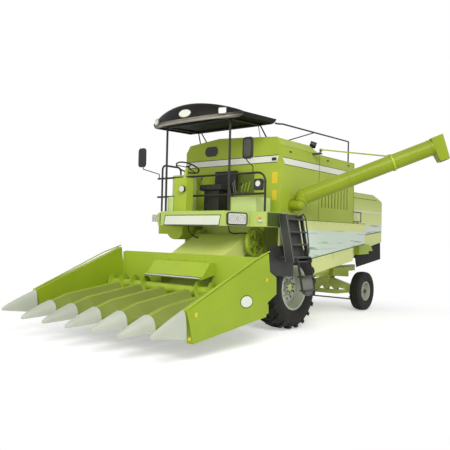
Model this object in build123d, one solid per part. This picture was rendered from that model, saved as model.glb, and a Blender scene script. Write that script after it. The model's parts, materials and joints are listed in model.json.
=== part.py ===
from build123d import *
import os
from math import atan2, cos, degrees, hypot, pi, radians, sin, sqrt

# Self-propelled combine harvester with a six-row maize header.
# Millimetres. +X is the machine's left, -Y is forward, +Z is up.
# The design origin is on the ground under the front axle, on the centreline.
# Every solid is moved at export so that the row's origin is the middle of the machine's box.

os.makedirs("parts", exist_ok=True)

# Row origin, in the design frame
origin_x = 863
origin_y = 407

# Clearances
seat_gap = 0.3            # between pieces of one body whose curved faces meet
shaft_gap = 0.05          # radial running clearance of a shaft in its bore
moving_gap = 6            # between bodies that move past each other

# Wheels
wheelbase = 3500
front_tyre_radius = 750
front_tyre_width = 467
front_wheel_x = 1048
front_rim_radius = 381
front_rim_width = 381
front_flange = 26
front_lugs = 20           # on each side of the tread
rear_tyre_radius = 445
rear_tyre_width = 230
rear_wheel_x = 920
rear_rim_radius = 203
rear_rim_width = 178
rear_flange = 18
front_stub_radius = 60
rear_stub_radius = 32

# Chassis
rail_x = 620
rail_width = 80
rail_bottom = 900
rail_top = 1040
rail_front = -345
rail_rear = wheelbase + 150
kingpin_x = 740
kingpin_radius = 28
steer_arm = 220
hitch_bore = 16           # radius of the tow pin's hole

# Body
body_half = 750           # threshing body between the wheels
body_front = -280
shell_half = 1150         # tank and side panels
shell_front = -360
shell_rear = 2520
tank_rear = 1000
shell_floor = 1990
shell_top = 3290
panel = 40                # thickness of the outer sheet panels with their frames
hood_half = 830
hood_rear = 4760
hood_top = 2745
hood_side_top = 2610
shield_rear = 3120
arch_radius = 830

# Operator's platform
deck_half = 1280
deck_front = -1450
deck_side_front = -1000
deck_low = 1830
deck_top = 2085
nose_half = 750           # half width of the forward middle section
deck_plate = 40
rail_tube = 19
rail_high = 2750
rail_low = 2390
hoop_top = 3020
canopy_half = 1050
canopy_front = -1650
canopy_corner = -1400
canopy_rear = -380
canopy_low = 3620
canopy_high = 3950
canopy_skin = 45

# Feeder and header
pivot_y = -560            # lift pivot, also the axis of the drive pulley
pivot_z = 1560
pulley_x = 760
feeder_half = 620
feeder_skin = 20
header_half = 1760
end_panel = 110
row_pitch = 558
rows = 6
wall_y = -1540
wall_thick = 30
wall_top = 1320
trough_low = 585
mouth_half = 600
mouth_low = 640
mouth_high = 1140
toolbar_y = -2230
riser_y = -2118
auger_y = -1830
auger_z = 740
auger_radius = 190
auger_tube = 90
auger_pitch = 420

# Unloading auger
elbow = Vector(shell_half + 170, 120, 2400)
spout_tip = elbow + Vector(1900, 1190, 910)
stay_anchor = elbow + Vector(-30, 680, 950)
unload_radius = 143


def block(x0, x1, y0, y1, z0, z1):
    return Pos((x0 + x1) / 2, (y0 + y1) / 2, (z0 + z1) / 2) * Box(x1 - x0, y1 - y0, z1 - z0)


def outline(points):
    return make_face(Polyline(*points, close=True))


def from_side(points, x0, x1):
    """An outline of (y, z) points, drawn from the side and pushed across the machine."""
    return Pos(x0, 0, 0) * extrude(Plane.YZ * outline(points), amount=x1 - x0)


def from_front(points, y0, y1):
    """An outline of (x, z) points, pushed along the machine."""
    return Pos(0, y1, 0) * extrude(Plane.XZ * outline(points), amount=y1 - y0)


def from_above(points, z0, z1):
    return Pos(0, 0, z0) * extrude(outline(points), amount=z1 - z0)


def rod(start, end, radius):
    start, end = Vector(*start), Vector(*end)
    return Solid.make_cylinder(radius, (end - start).length, Plane(start, z_dir=end - start))


def pipe(points, radius, bend):
    path = FilletPolyline(*points, radius=bend)
    return sweep(Plane(origin=path @ 0, z_dir=path % 0) * Circle(radius), path=path)


def across(x0, x1, y, z, radius):
    return rod((x0, y, z), (x1, y, z), radius)


def other_side(shape):
    return mirror(shape, about=Plane.YZ)


def both_sides(shape):
    return [shape, other_side(shape)]


def gather(*shapes):
    solids = []
    for shape in shapes:
        for one in shape if isinstance(shape, (list, tuple)) else [shape]:
            solids += one.solids()
    return Compound(solids)


def save(name, *shapes):
    export_step(Pos(-origin_x, -origin_y, 0) * gather(*shapes), f"parts/{name}.step")


# Wheels, modelled about the X axis with the outer face towards +X
def ring(points):
    """A closed outline of (axial, radius) points, turned about the X axis."""
    return revolve(outline(points), axis=Axis.X)


def carcass(radius, width, bead_radius, bead_width, flange, crown):
    """A closed tyre: straight beads behind the rim flanges, bowed walls and a crowned tread."""
    half, shoulder, bead = width / 2, radius - crown, bead_width / 2
    edge, lip = half * 0.88, bead_radius + flange + 4
    section = make_face(Curve() + [
        Line((-bead, lip), (-bead, bead_radius)),
        Line((-bead, bead_radius), (bead, bead_radius)),
        Line((bead, bead_radius), (bead, lip)),
        ThreePointArc((bead, lip), (half, (lip + shoulder) / 2), (edge, shoulder)),
        ThreePointArc((edge, shoulder), (0, radius), (-edge, shoulder)),
        ThreePointArc((-edge, shoulder), (-half, (lip + shoulder) / 2), (-bead, lip)),
    ])
    return revolve(section, axis=Axis.X)


def front_tyre():
    half = front_tyre_width / 2
    tread = front_tyre_radius - 38
    body = carcass(tread, front_tyre_width, front_rim_radius + 2, front_rim_width, front_flange, 24)
    envelope = ring([(6, tread - 25), (6, front_tyre_radius), (half * 0.6, front_tyre_radius - 4),
                     (half - 6, front_tyre_radius - 26), (half - 2, tread - 60), (half * 0.8, tread - 40)])
    bar = [(6, -34), (6, 30), (half * 0.45, 92), (half, 186), (half, 112), (half * 0.5, 28)]
    lug = from_above(bar, tread - 70, front_tyre_radius + 10) & envelope
    step = 360 / front_lugs
    lugs = []
    for i in range(front_lugs):
        lugs.append(Rot(i * step, 0, 0) * lug)
        lugs.append(Rot((i + 0.5) * step, 0, 0) * other_side(lug))
    return body.fuse(*lugs)


def rim(radius, width, flange, thick, dish, hub_radius, bore):
    """Rim band with two flanges, a dished disc and the hub's barrel, as one piece."""
    half, seat = width / 2, radius + 2 - seat_gap
    band = ring([(-half - 9, radius - thick), (-half - 9, radius + flange), (-half - seat_gap, radius + flange),
                 (-half - seat_gap, seat), (half + seat_gap, seat), (half + seat_gap, radius + flange),
                 (half + 9, radius + flange), (half + 9, radius - thick)])
    disc = ring([(-6, radius - thick + 2), (12, radius - thick + 2), (dish, radius * 0.66), (dish, bore),
                 (dish - 16, bore), (dish - 16, radius * 0.64)])
    barrel = ring([(dish - 70, bore), (dish - 70, hub_radius), (dish + 26, hub_radius), (dish + 34, hub_radius - 14),
                   (dish + 34, bore)])
    return band + disc + barrel


def place_wheel(shape, x, y, z):
    left = Pos(x, y, z) * shape
    return left, other_side(left)


front_tyres = place_wheel(front_tyre(), front_wheel_x, 0, front_tyre_radius)
front_rims = place_wheel(rim(front_rim_radius, front_rim_width, front_flange, 12, 62, 118, front_stub_radius + shaft_gap),
                         front_wheel_x, 0, front_tyre_radius)
rear_body = carcass(rear_tyre_radius, rear_tyre_width, rear_rim_radius + 2, rear_rim_width, rear_flange, 14)
for groove_x in (-52, 0, 52):
    rear_body -= ring([(groove_x - 9, rear_tyre_radius - 26), (groove_x - 9, rear_tyre_radius + 5),
                       (groove_x + 9, rear_tyre_radius + 5), (groove_x + 9, rear_tyre_radius - 26)])
rear_tyres = place_wheel(rear_body, rear_wheel_x, wheelbase, rear_tyre_radius)
rear_rims = place_wheel(rim(rear_rim_radius, rear_rim_width, rear_flange, 8, 30, 62, rear_stub_radius + shaft_gap),
                        rear_wheel_x, wheelbase, rear_tyre_radius)
for side, index in (("left", 0), ("right", 1)):
    save(f"front_tyre_{side}", front_tyres[index])
    save(f"front_rim_{side}", front_rims[index])
    save(f"rear_tyre_{side}", rear_tyres[index])
    save(f"rear_rim_{side}", rear_rims[index])

# Chassis rails with cross members, the rear pivot bracket and the tow hitch
rail = block(rail_x - rail_width / 2, rail_x + rail_width / 2, rail_front, rail_rear, rail_bottom, rail_top)
frame_rails = rail + other_side(rail)
rear_cross_y = wheelbase + 70
for cross_y in (-200, wheelbase - 130, rear_cross_y):
    frame_rails += block(-rail_x, rail_x, cross_y, cross_y + 60, rail_bottom, rail_top - 60)
for ear_y in (wheelbase - 130, wheelbase + 90):
    ear = from_front([(-110, 580), (110, 580), (190, rail_bottom), (-190, rail_bottom)], ear_y, ear_y + 40)
    frame_rails += ear
frame_rails += rod((0, wheelbase - 130, 640), (0, wheelbase + 130, 640), 34)
save("frame_rails", frame_rails)

# Tow hitch: a clevis bolted to the rear cross member
hitch_face = rear_cross_y + 60
hitch_y = hitch_face + 70
tow_hitch = block(-70, 70, hitch_face, hitch_face + 14, rail_bottom, rail_bottom + 80)
for plate_z in (rail_bottom + 5, rail_bottom + 55):
    tow_hitch += block(-50, 50, hitch_face, hitch_y, plate_z, plate_z + 20)
    tow_hitch += rod((0, hitch_y, plate_z), (0, hitch_y, plate_z + 20), 50)
tow_hitch -= rod((0, hitch_y, rail_bottom - 10), (0, hitch_y, rail_top), hitch_bore)
save("tow_hitch", tow_hitch)

# Front drive axle: gearbox, half shaft tubes, final drives and wheel stubs
axle_z = front_tyre_radius
gearbox = block(-190, 190, -180, 180, axle_z - 190, rail_bottom)
drive_axle = gearbox + across(-660, 660, 0, axle_z, 78)
for side_x in (1, -1):
    inner, outer = sorted((side_x * 600, side_x * 740))
    drive_axle += across(inner, outer, 0, axle_z, rail_bottom - axle_z)
    drive_axle += block(min(inner, outer), max(inner, outer), -150, 150, axle_z, rail_bottom)
    far = side_x * (front_wheel_x + 100)
    drive_axle += across(side_x * 730, far, 0, axle_z, front_stub_radius)
lift_base = Vector(0, -230, 640)
lift_spread = 480
for lift_x in (lift_spread, -lift_spread):
    drive_axle += block(lift_x - 60, lift_x + 60, -180, 0, 600, 720)
    for ear_x in (lift_x - 60, lift_x + 36):
        drive_axle += from_side([(-175, 600), (-175, 720), (-270, 690), (-270, 600)], ear_x, ear_x + 24)
    drive_axle += across(lift_x - 60, lift_x + 60, lift_base.Y, lift_base.Z, 25)
save("drive_axle", drive_axle)

# Rear axle: a trussed beam that hangs on its centre pivot, with forks at the kingpins
beam_low, beam_high, beam_deep = 330, 705, 130
beam_end = kingpin_x - 66
beam = from_front([(-beam_end, 390), (-300, beam_low), (300, beam_low), (beam_end, 390), (beam_end, 555),
                   (150, beam_high), (-150, beam_high), (-beam_end, 555)],
                  wheelbase - beam_deep / 2, wheelbase + beam_deep / 2)
for window in ([(30, 425), (235, 425), (110, 530)], [(290, 425), (560, 445), (300, 490)]):
    cut = from_front(window, wheelbase - beam_deep, wheelbase + beam_deep)
    beam -= cut
    beam -= other_side(cut)
beam -= rod((0, wheelbase - 200, 640), (0, wheelbase + 200, 640), 34 + shaft_gap)
fork = []
for fork_z in (350, 520):
    fork.append(block(beam_end - 60, kingpin_x, wheelbase - 50, wheelbase + 50, fork_z, fork_z + 45)
                + rod((kingpin_x, wheelbase, fork_z), (kingpin_x, wheelbase, fork_z + 45), 50))
fork = fork[0] + fork[1]
fork -= rod((kingpin_x, wheelbase, 300), (kingpin_x, wheelbase, 600), kingpin_radius + shaft_gap)
rear_axle = beam + fork + other_side(fork)
save("rear_axle", rear_axle)

# Steering: knuckles on kingpins, arms and the tie rod
arm_z = 300
knuckle = rod((kingpin_x, wheelbase, 285), (kingpin_x, wheelbase, 580), kingpin_radius)
knuckle += block(kingpin_x - 40, kingpin_x + 40, wheelbase - 44, wheelbase + 44, 401, 514)
knuckle += rod((kingpin_x + 20, wheelbase, rear_tyre_radius), (rear_wheel_x + 60, wheelbase, rear_tyre_radius),
               rear_stub_radius)
knuckle += block(kingpin_x - 28, kingpin_x + 28, wheelbase - steer_arm - 30, wheelbase + 10, arm_z - 16, arm_z + 16)
ball = rod((kingpin_x, wheelbase - steer_arm, arm_z - 60), (kingpin_x, wheelbase - steer_arm, arm_z), 12)
knuckle += ball
knuckles = both_sides(knuckle)
save("knuckle_left", knuckles[0])
save("knuckle_right", knuckles[1])
tie_y, tie_z = wheelbase - steer_arm, arm_z - 44
tie_rod = across(-kingpin_x, kingpin_x, tie_y, tie_z, 17)
for end_x in (-kingpin_x, kingpin_x):
    tie_rod += rod((end_x, tie_y, tie_z - 18), (end_x, tie_y, tie_z + 18), 28)
for end_x, hole in ((kingpin_x, 12 + shaft_gap), (-kingpin_x, 12 + 2)):
    tie_rod -= rod((end_x, tie_y, tie_z - 40), (end_x, tie_y, tie_z + 40), hole)
save("tie_rod", tie_rod)

# Threshing body between the wheels, with the sieve box under it
body_side = [(body_front, rail_top), (body_front, shell_floor), (2550, shell_floor), (2550, rail_top)]
threshing_body = from_side(body_side, -body_half, body_half)
pan_rear = wheelbase - 350
pan = from_side([(300, rail_top), (420, 860), (900, 760), (pan_rear - 250, 840), (pan_rear, rail_top - 10),
                 (pan_rear, rail_top)],
                -540, 540)
save("threshing_body", threshing_body + pan)

# Side shields, cut out over the front wheels
arch = rod((0, 0, front_tyre_radius), (2000, 0, front_tyre_radius), arch_radius)
shield_side = [(shell_front, shell_floor), (shield_rear, shell_floor), (shield_rear, 1550), (shell_rear, 1470),
               (shell_rear, 1170), (880, 965), (-360, 965)]
shield = from_side(shield_side, shell_half - panel, shell_half) - arch
hangers = []
for hang_y in (-300, 1300, 2450):
    hangers.append(block(body_half, shell_half - panel, hang_y, hang_y + 50, 1900, 1950))
shields = both_sides(gather(shield, hangers))
save("side_shield_left", shields[0])
save("side_shield_right", shields[1])

# Grain tank: walls with a hipped top
tank_front = [(-shell_half, shell_floor), (shell_half, shell_floor), (shell_half, 3300), (1050, 3450),
              (300, 3500), (-300, 3530), (-1050, 3450), (-shell_half, 3300)]
tank = from_front(tank_front, shell_front, tank_rear)
tank &= from_side([(shell_front, shell_floor), (tank_rear, shell_floor), (tank_rear, shell_top),
                   (660, 3540), (shell_front, 3540)], -shell_half, shell_half)
save("grain_tank", tank)

# Engine bay: an open shell with upright vent slots, and the engine inside it
bay = block(-shell_half, shell_half, tank_rear, shell_rear, shell_floor, shell_top)
bay -= block(-shell_half + panel, shell_half - panel, tank_rear, shell_rear - panel, shell_floor + panel,
             shell_top - panel)
vents = 9
for i in range(vents):
    vent_y = 1105 + i * 135
    bay -= block(-2000, 2000, vent_y, vent_y + 42, 2260, 2700)
save("engine_bay", bay)
save("engine", block(-450, 350, 1300, 2350, shell_floor + panel, 2950))

# Straw hood, open below at the back, with its rubber curtain
hood_side = [(2550, 1150), (2550, hood_side_top), (4430, hood_side_top), (hood_rear, 2480), (hood_rear, 1580),
             (4130, 1480), (3300, 1330), (3160, 1150)]
hood_front = [(-hood_half, 1000), (hood_half, 1000), (hood_half, hood_side_top), (hood_half - 90, hood_top),
              (-hood_half + 90, hood_top), (-hood_half, hood_side_top)]
hood_side_high = [(2550, 1150), (2550, hood_top), (4430, hood_top), (hood_rear, 2560), (hood_rear, 1580),
                  (4130, 1480), (3300, 1330), (3160, 1150)]
hood = from_side(hood_side_high, -hood_half, hood_half) & from_front(hood_front, 2550, hood_rear)
inside = block(-hood_half + panel, hood_half - panel, 2600, hood_rear - panel, 1000, hood_side_top - panel)
hood -= inside
save("straw_hood", hood)
curtain = from_side([(3300, 1330 - seat_gap), (4130, 1480 - seat_gap), (hood_rear - 5, 1579 - seat_gap),
                     (hood_rear + 30, 1150), (3420, 990)], hood_half - 34, hood_half - 22)
save("hood_curtain", both_sides(curtain),
     block(-hood_half + panel + 1, hood_half - panel - 1, hood_rear - panel - 12, hood_rear - panel - seat_gap,
           1150, 1800))

# Operator's platform with the nameplate nose and the lamp corners
deck_plan = [(-deck_half, shell_front), (-deck_half, deck_side_front), (-nose_half - 180, deck_side_front),
             (-nose_half, deck_front), (nose_half, deck_front), (nose_half + 180, deck_side_front),
             (deck_half, deck_side_front), (deck_half, shell_front)]
deck = from_above(deck_plan, deck_low, deck_top)
deck_pocket = [(-deck_half + 40, shell_front - 40), (-deck_half + 40, deck_side_front + 40),
               (-nose_half - 150, deck_side_front + 40), (-nose_half + 25, deck_front + 40),
               (nose_half - 25, deck_front + 40), (nose_half + 150, deck_side_front + 40),
               (deck_half - 40, deck_side_front + 40), (deck_half - 40, shell_front - 40)]
deck -= from_above(deck_pocket, deck_low - 5, deck_top - deck_plate)
save("platform", deck)

# Lamps on the nose corners
lamps = []
for side_x in (1, -1):
    corner = Vector(side_x * (nose_half + 90), (deck_front + deck_side_front) / 2, 0)
    away = Vector(side_x * (deck_side_front - deck_front), -180, 0).normalized()
    plane = Plane(origin=(corner.X, corner.Y, 1955), x_dir=(away.Y, -away.X, 0), z_dir=(away.X, away.Y, 0))
    lamps.append(extrude(plane * RectangleRounded(360, 180, 30), amount=30))
save("headlamps", lamps)
save("marker_lamps", block(1150, 1220, deck_side_front - 30, deck_side_front, 1915, 1995),
     block(-1440, -1290, -1010, -930, 1900, 2050), block(-1290, -1280, -1000, -940, 1940, 2010))

# Rails round the platform: a hoop on the right side and two front rails that end in a post on the left
side_rail_y = deck_side_front + 60
front_rail_y = side_rail_y - 2 * rail_tube - seat_gap
rail_x_side = deck_half - 35
hoop = pipe([(-rail_x_side, side_rail_y, deck_top), (-rail_x_side, side_rail_y, hoop_top),
             (-rail_x_side, shell_front - 60, hoop_top), (-rail_x_side, shell_front - 60, deck_top)], rail_tube, 90)
front_rail = pipe([(-rail_x_side - 80, front_rail_y, rail_high), (rail_x_side, front_rail_y, rail_high),
                   (rail_x_side, front_rail_y, deck_top)], rail_tube, 160)
front_rail += rod((-rail_x_side - 80, front_rail_y, rail_low), (rail_x_side, front_rail_y, rail_low), rail_tube)
save("platform_rails", hoop, front_rail)

# Canopy on four posts
plan_arc = ThreePointArc((-canopy_half, canopy_corner), (0, canopy_front), (canopy_half, canopy_corner))
plan = make_face(Curve() + [plan_arc, Line((canopy_half, canopy_corner), (canopy_half - 30, canopy_rear)),
                            Line((canopy_half - 30, canopy_rear), (-canopy_half + 30, canopy_rear)),
                            Line((-canopy_half + 30, canopy_rear), (-canopy_half, canopy_corner))])


def canopy_form(drop, inset):
    side = make_face(Curve() + [
        Line((canopy_front + inset, canopy_low - 200), (canopy_front + inset, canopy_low + 60 - drop)),
        ThreePointArc((canopy_front + inset, canopy_low + 60 - drop), (canopy_front + 330, canopy_high - 30 - drop),
                      (canopy_front + 640, canopy_high - 50 - drop)),
        Line((canopy_front + 640, canopy_high - 50 - drop), (canopy_rear - inset, 3725 - drop)),
        Line((canopy_rear - inset, 3725 - drop), (canopy_rear - inset, canopy_low - 200)),
        Line((canopy_rear - inset, canopy_low - 200), (canopy_front + inset, canopy_low - 200)),
    ])
    crown = make_face(Curve() + [
        Line((-canopy_half + inset, canopy_low - 200), (-canopy_half + inset, 3740 - drop)),
        ThreePointArc((-canopy_half + inset, 3740 - drop), (0, canopy_high - drop),
                      (canopy_half - inset, 3740 - drop)),
        Line((canopy_half - inset, 3740 - drop), (canopy_half - inset, canopy_low - 200)),
        Line((canopy_half - inset, canopy_low - 200), (-canopy_half + inset, canopy_low - 200)),
    ])
    form = Pos(-canopy_half - 50, 0, 0) * extrude(Plane.YZ * side, amount=2 * canopy_half + 100)
    return form & Pos(0, 0, 0) * extrude(Plane.XZ * crown, amount=-canopy_front + 50)


canopy_base = from_side([(canopy_front - 20, canopy_low), (canopy_rear + 20, 3670), (canopy_rear + 20, 4200),
                         (canopy_front - 20, 4200)], -1200, 1200)
canopy_plan = Pos(0, 0, 3000) * extrude(plan, amount=1200)
canopy = canopy_form(0, 0) & canopy_plan & canopy_base
canopy -= canopy_form(canopy_skin, canopy_skin) & Pos(0, canopy_skin, 0) * canopy_plan & from_side(
    [(canopy_front - 20, 3000), (canopy_rear - canopy_skin, 3000), (canopy_rear - canopy_skin, 4200),
     (canopy_front - 20, 4200)], -1200, 1200)
save("canopy", canopy)
posts = []
for post_x, post_y, post_low in ((740, -1330, deck_top), (-740, -1330, deck_top), (720, -420, deck_top),
                                 (-720, -420, deck_top)):
    tall = rod((post_x, post_y, post_low), (post_x, post_y, canopy_high + 100), 20)
    posts.append((tall - Pos(0, 0, -seat_gap) * canopy).solids().sort_by(Axis.Z)[0])
save("canopy_posts", posts)

# Seat, steering column and cabinets
save("seat_base", block(-200, 150, -880, -560, deck_top, 2480))
save("seat_cushion", block(-300, 250, -950, -500, 2480.3, 2600))
save("seat_back", block(-300, 250, -500 + seat_gap, -410, 2500, 2900))
wheel_axis = Plane(origin=(-410, -1120, 2902), z_dir=(0, 80, 200))
column = block(-560, -260, -1300, -1120, deck_top, 2700)
column += wheel_axis * Pos(0, 0, -150) * Cylinder(30, 280)
column -= wheel_axis * Pos(0, 0, -100) * Cylinder(12 + shaft_gap, 200)
save("steering_column", column)
steering_wheel = wheel_axis * Torus(215, 14) + wheel_axis * Pos(0, 0, 8) * Cylinder(40, 20)
steering_wheel += wheel_axis * Pos(0, 0, -70) * Cylinder(12, 150)
for i in range(3):
    steering_wheel += wheel_axis * Pos(0, 0, 8) * Rot(0, 0, 120 * i) * Pos(110, 0, 0) * Box(200, 24, 8)
save("steering_wheel", steering_wheel)
save("control_cabinets", block(-1100, -770, -800, -460, deck_top, 2820),
     block(450, 1000, -900, -460, deck_top, 2350), block(-740, -590, -1290, -1140, deck_top, 2360))

# Mirrors
rail_clear = rail_high + rail_tube + seat_gap
mirror_left = block(880, 1080, -1080, -1050, 2980, 3340)
mirror_left += pipe([(980, front_rail_y, rail_clear), (980, front_rail_y, 2860), (980, -1065, 3000)], 9, 30)
mirror_right = block(-1560, -1360, -1300, -1270, 2950, 3330)
mirror_right += pipe([(-rail_x_side - 50, front_rail_y, rail_clear), (-rail_x_side - 50, front_rail_y, 2840),
                      (-1460, -1285, 2960)], 9, 25)
save("mirrors", mirror_left, mirror_right)

# Ladder: fixed upper flight leaning out, folding lower flight, guard plate over the wheel
lean = 170 / 830


def ladder_x(z):
    return deck_half + 105 + (2060 - z) * lean


def slanted(z0, z1, y0, y1, depth, shift=0):
    """A plate standing across the ladder, leaning out with it."""
    points = [(ladder_x(z0) - depth / 2 + shift, z0), (ladder_x(z0) + depth / 2 + shift, z0),
              (ladder_x(z1) + depth / 2 + shift, z1), (ladder_x(z1) - depth / 2 + shift, z1)]
    return from_front(points, y0, y1)


upper = slanted(1230, 2060, -650, -620, 170) + slanted(1230, 2060, -70, -40, 60)
for tread_z in (1300, 1520, 1740, 1960):
    x = ladder_x(tread_z)
    upper += block(x - 70, x + 70, -640, -50, tread_z, tread_z + 25)
upper += block(deck_half, ladder_x(2000), -650, -620, 1990, 2040)
upper += block(deck_half, ladder_x(2000), -70, -40, 1990, 2040)
hinge_z = 1250
hinge_x = ladder_x(hinge_z) + 105
fold_foot = 620
fold_out = 130
for ear_y in (-590, -140):
    upper += block(ladder_x(hinge_z) - 60, hinge_x + 18, ear_y, ear_y + 20, hinge_z - 18, hinge_z + 60)
upper += block(ladder_x(1240) - 60, ladder_x(1240) + 60, -640, -50, 1230, 1256)
upper += rod((hinge_x, -590, hinge_z), (hinge_x, -120, hinge_z), 9)
save("ladder_upper", upper)


def fold_x(z):
    return hinge_x + (hinge_z - z) * fold_out / (hinge_z - fold_foot)


lower = None
for bar_y in (-555, -175):
    bar = from_front([(fold_x(hinge_z) - 20, hinge_z + 22), (fold_x(hinge_z) + 20, hinge_z + 22),
                      (fold_x(fold_foot) + 20, fold_foot), (fold_x(fold_foot) - 20, fold_foot)], bar_y, bar_y + 12)
    lower = bar if lower is None else lower + bar
for tread_z in (fold_foot, 780, 1000):
    lower += block(fold_x(tread_z) - 60, fold_x(tread_z) + 60, -555, -163, tread_z, tread_z + 24)
lower -= rod((hinge_x, -600, hinge_z), (hinge_x, -100, hinge_z), 9 + shaft_gap)
save("ladder_lower", lower)
guard_x = front_wheel_x + front_tyre_width / 2 + 12
save("wheel_guard", block(guard_x, guard_x + 10, -730, 20, 940, 1440)
     + block(guard_x, ladder_x(1340) - 85, -650, -620, 1300, 1340))

# Feeder house, hollow from its mouth to the pivot drum
feeder_slope = (1670 - 1370) / (1190 - 640)
top_front = 1370 - (1190 + wall_y + wall_thick) * -feeder_slope
feeder_side = make_face(Curve() + [
    Line((wall_y + wall_thick, mouth_low), (wall_y + wall_thick, 1196)),
    Line((wall_y + wall_thick, 1196), (-640, 1670)),
    ThreePointArc((-640, 1670), (-426, pivot_z + 20), (-560, pivot_z - 150)),
    Line((-560, pivot_z - 150), (wall_y + wall_thick, mouth_low)),
])
feeder = Pos(-feeder_half, 0, 0) * extrude(Plane.YZ * feeder_side, amount=2 * feeder_half)
feeder -= from_side([(wall_y, mouth_low + 30), (wall_y, 1170), (-1500, 1170), (-700, 1605), (-700, 1330)],
                    -feeder_half + feeder_skin, feeder_half - feeder_skin)
trunnion = across(feeder_half, 700, pivot_y, pivot_z, 45) + across(-700, -feeder_half, pivot_y, pivot_z, 45)
feeder += trunnion
lift_eye = Vector(0, -1250, 780)
for lift_x in (lift_spread, -lift_spread):
    for ear_x in (lift_x - 60, lift_x + 36):
        feeder += from_side([(-1310, 745), (-1190, 745), (-1170, 925), (-1310, 812)], ear_x, ear_x + 24)
    feeder += across(lift_x - 60, lift_x + 60, lift_eye.Y, lift_eye.Z, 20)
feeder -= across(500, 800, pivot_y, pivot_z, 25 + shaft_gap)
save("feeder_house", feeder)
hanger = from_side([(body_front, 1350), (body_front, 1760), (-500, 1760), (-640, 1600), (-640, 1520), (-520, 1440)],
                   640, 690) - across(600, 800, pivot_y, pivot_z, 45 + shaft_gap)
save("feeder_hangers", both_sides(hanger))
pulley = ring([(-34, 232), (-34, 262), (34, 262), (34, 232)]) + ring([(-34, 0), (-34, 60), (34, 60), (34, 0)])
for i in range(6):
    pulley += Rot(i * 60, 0, 0) * block(-14, 14, -18, 18, 50, 240)
pulley = Pos(pulley_x, pivot_y, pivot_z) * pulley + across(510, pulley_x, pivot_y, pivot_z, 25)
save("feeder_pulley", pulley)

# Lift cylinders: barrels on the drive axle, rods under the feeder
along = (lift_eye - lift_base).normalized()
rod_radius = 28
barrels, rods = [], []
for lift_x in (lift_spread, -lift_spread):
    shift = Vector(lift_x, 0, 0)
    mouth = lift_base + along * 700
    barrel = rod(lift_base + along * 80 + shift, mouth + shift, 48)
    barrel += rod(lift_base + shift, lift_base + along * 90 + shift, 26)
    barrel += across(lift_x - 30, lift_x + 30, lift_base.Y, lift_base.Z, 42)
    barrel -= rod(lift_base + along * 110 + shift, mouth + along + shift, rod_radius + shaft_gap)
    barrel -= across(lift_x - 70, lift_x + 70, lift_base.Y, lift_base.Z, 25 + shaft_gap)
    barrels.append(barrel)
    one = rod(lift_base + along * 330 + shift, lift_eye - along * 34 + shift, rod_radius)
    one += across(lift_x - 28, lift_x + 28, lift_eye.Y, lift_eye.Z, 42)
    one -= across(lift_x - 40, lift_x + 40, lift_eye.Y, lift_eye.Z, 20 + 7)
    rods.append(one)
save("lift_barrels", barrels)
save("lift_rods", rods)

# Header frame: back wall with the mouth, trough and beams
inner_half = header_half - end_panel
back = block(-inner_half, inner_half, wall_y, wall_y + wall_thick, trough_low, wall_top)
back -= block(-mouth_half, mouth_half, wall_y - 10, wall_y + wall_thick + 10, mouth_low, mouth_high)
floor_side = make_face(Curve() + [
    ThreePointArc((riser_y, 590), (auger_y, 522), (wall_y, 600)),
    Line((wall_y, 600), (wall_y, 585)),
    ThreePointArc((wall_y, 585), (auger_y, 507), (riser_y, 575)),
    Line((riser_y, 575), (riser_y, 590)),
])
trough = Pos(-inner_half, 0, 0) * extrude(Plane.YZ * floor_side, amount=2 * inner_half)
beams = block(-inner_half, inner_half, wall_y + wall_thick, wall_y + wall_thick + 110, 460, 600)
beams += block(-inner_half, inner_half, wall_y, wall_y + wall_thick, 460, trough_low)
beams += block(-inner_half, inner_half, wall_y + wall_thick, wall_y + 100, 1250, wall_top)
toolbar = block(-inner_half, inner_half, toolbar_y, toolbar_y + 120, 395, 518)
toolbar += block(-inner_half, inner_half, riser_y, riser_y + 10, 510, 582)
for brace_x in (-1200, -400, 400, 1200):
    toolbar += block(brace_x - 30, brace_x + 30, toolbar_y + 110, wall_y + 10, 465, 515)
save("header_frame", back + trough + beams + toolbar)

# End panels of the header
panel_side = [(-1580, 1400), (-1540, 1120), (-1360, 1030), (-1350, 770), (-1580, 660), (-1620, 440),
              (-3270, 250), (-3400, 690)]
end = from_side(panel_side, inner_half, header_half)
end -= across(inner_half - 10, inner_half + 70, auger_y, auger_z, 30 + shaft_gap)
save("header_end_panels", both_sides(end))

# Dividers: green hoods and pale points
lean_under = (440 - 250) / (3270 - 1620)


def under(y):
    return 250 + (y + 3270) * lean_under


hoods, points = [], []
hood_rows = [  # y, top z, side z above the skirt, width, crest width
    (-3480, 570, 60, 300, 60),
    (-3180, 660, 90, 380, 60),
    (riser_y - seat_gap, 800, 60, 400, 90),
]


def hood_section(x, y, top, side, width, crest):
    base = under(y) + 152
    pts = [(x - width / 2, base), (x + width / 2, base), (x + width / 2, base + side), (x + crest / 2, top),
           (x - crest / 2, top), (x - width / 2, base + side)]
    return Pos(0, y, 0) * (Plane.XZ * outline(pts))


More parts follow.
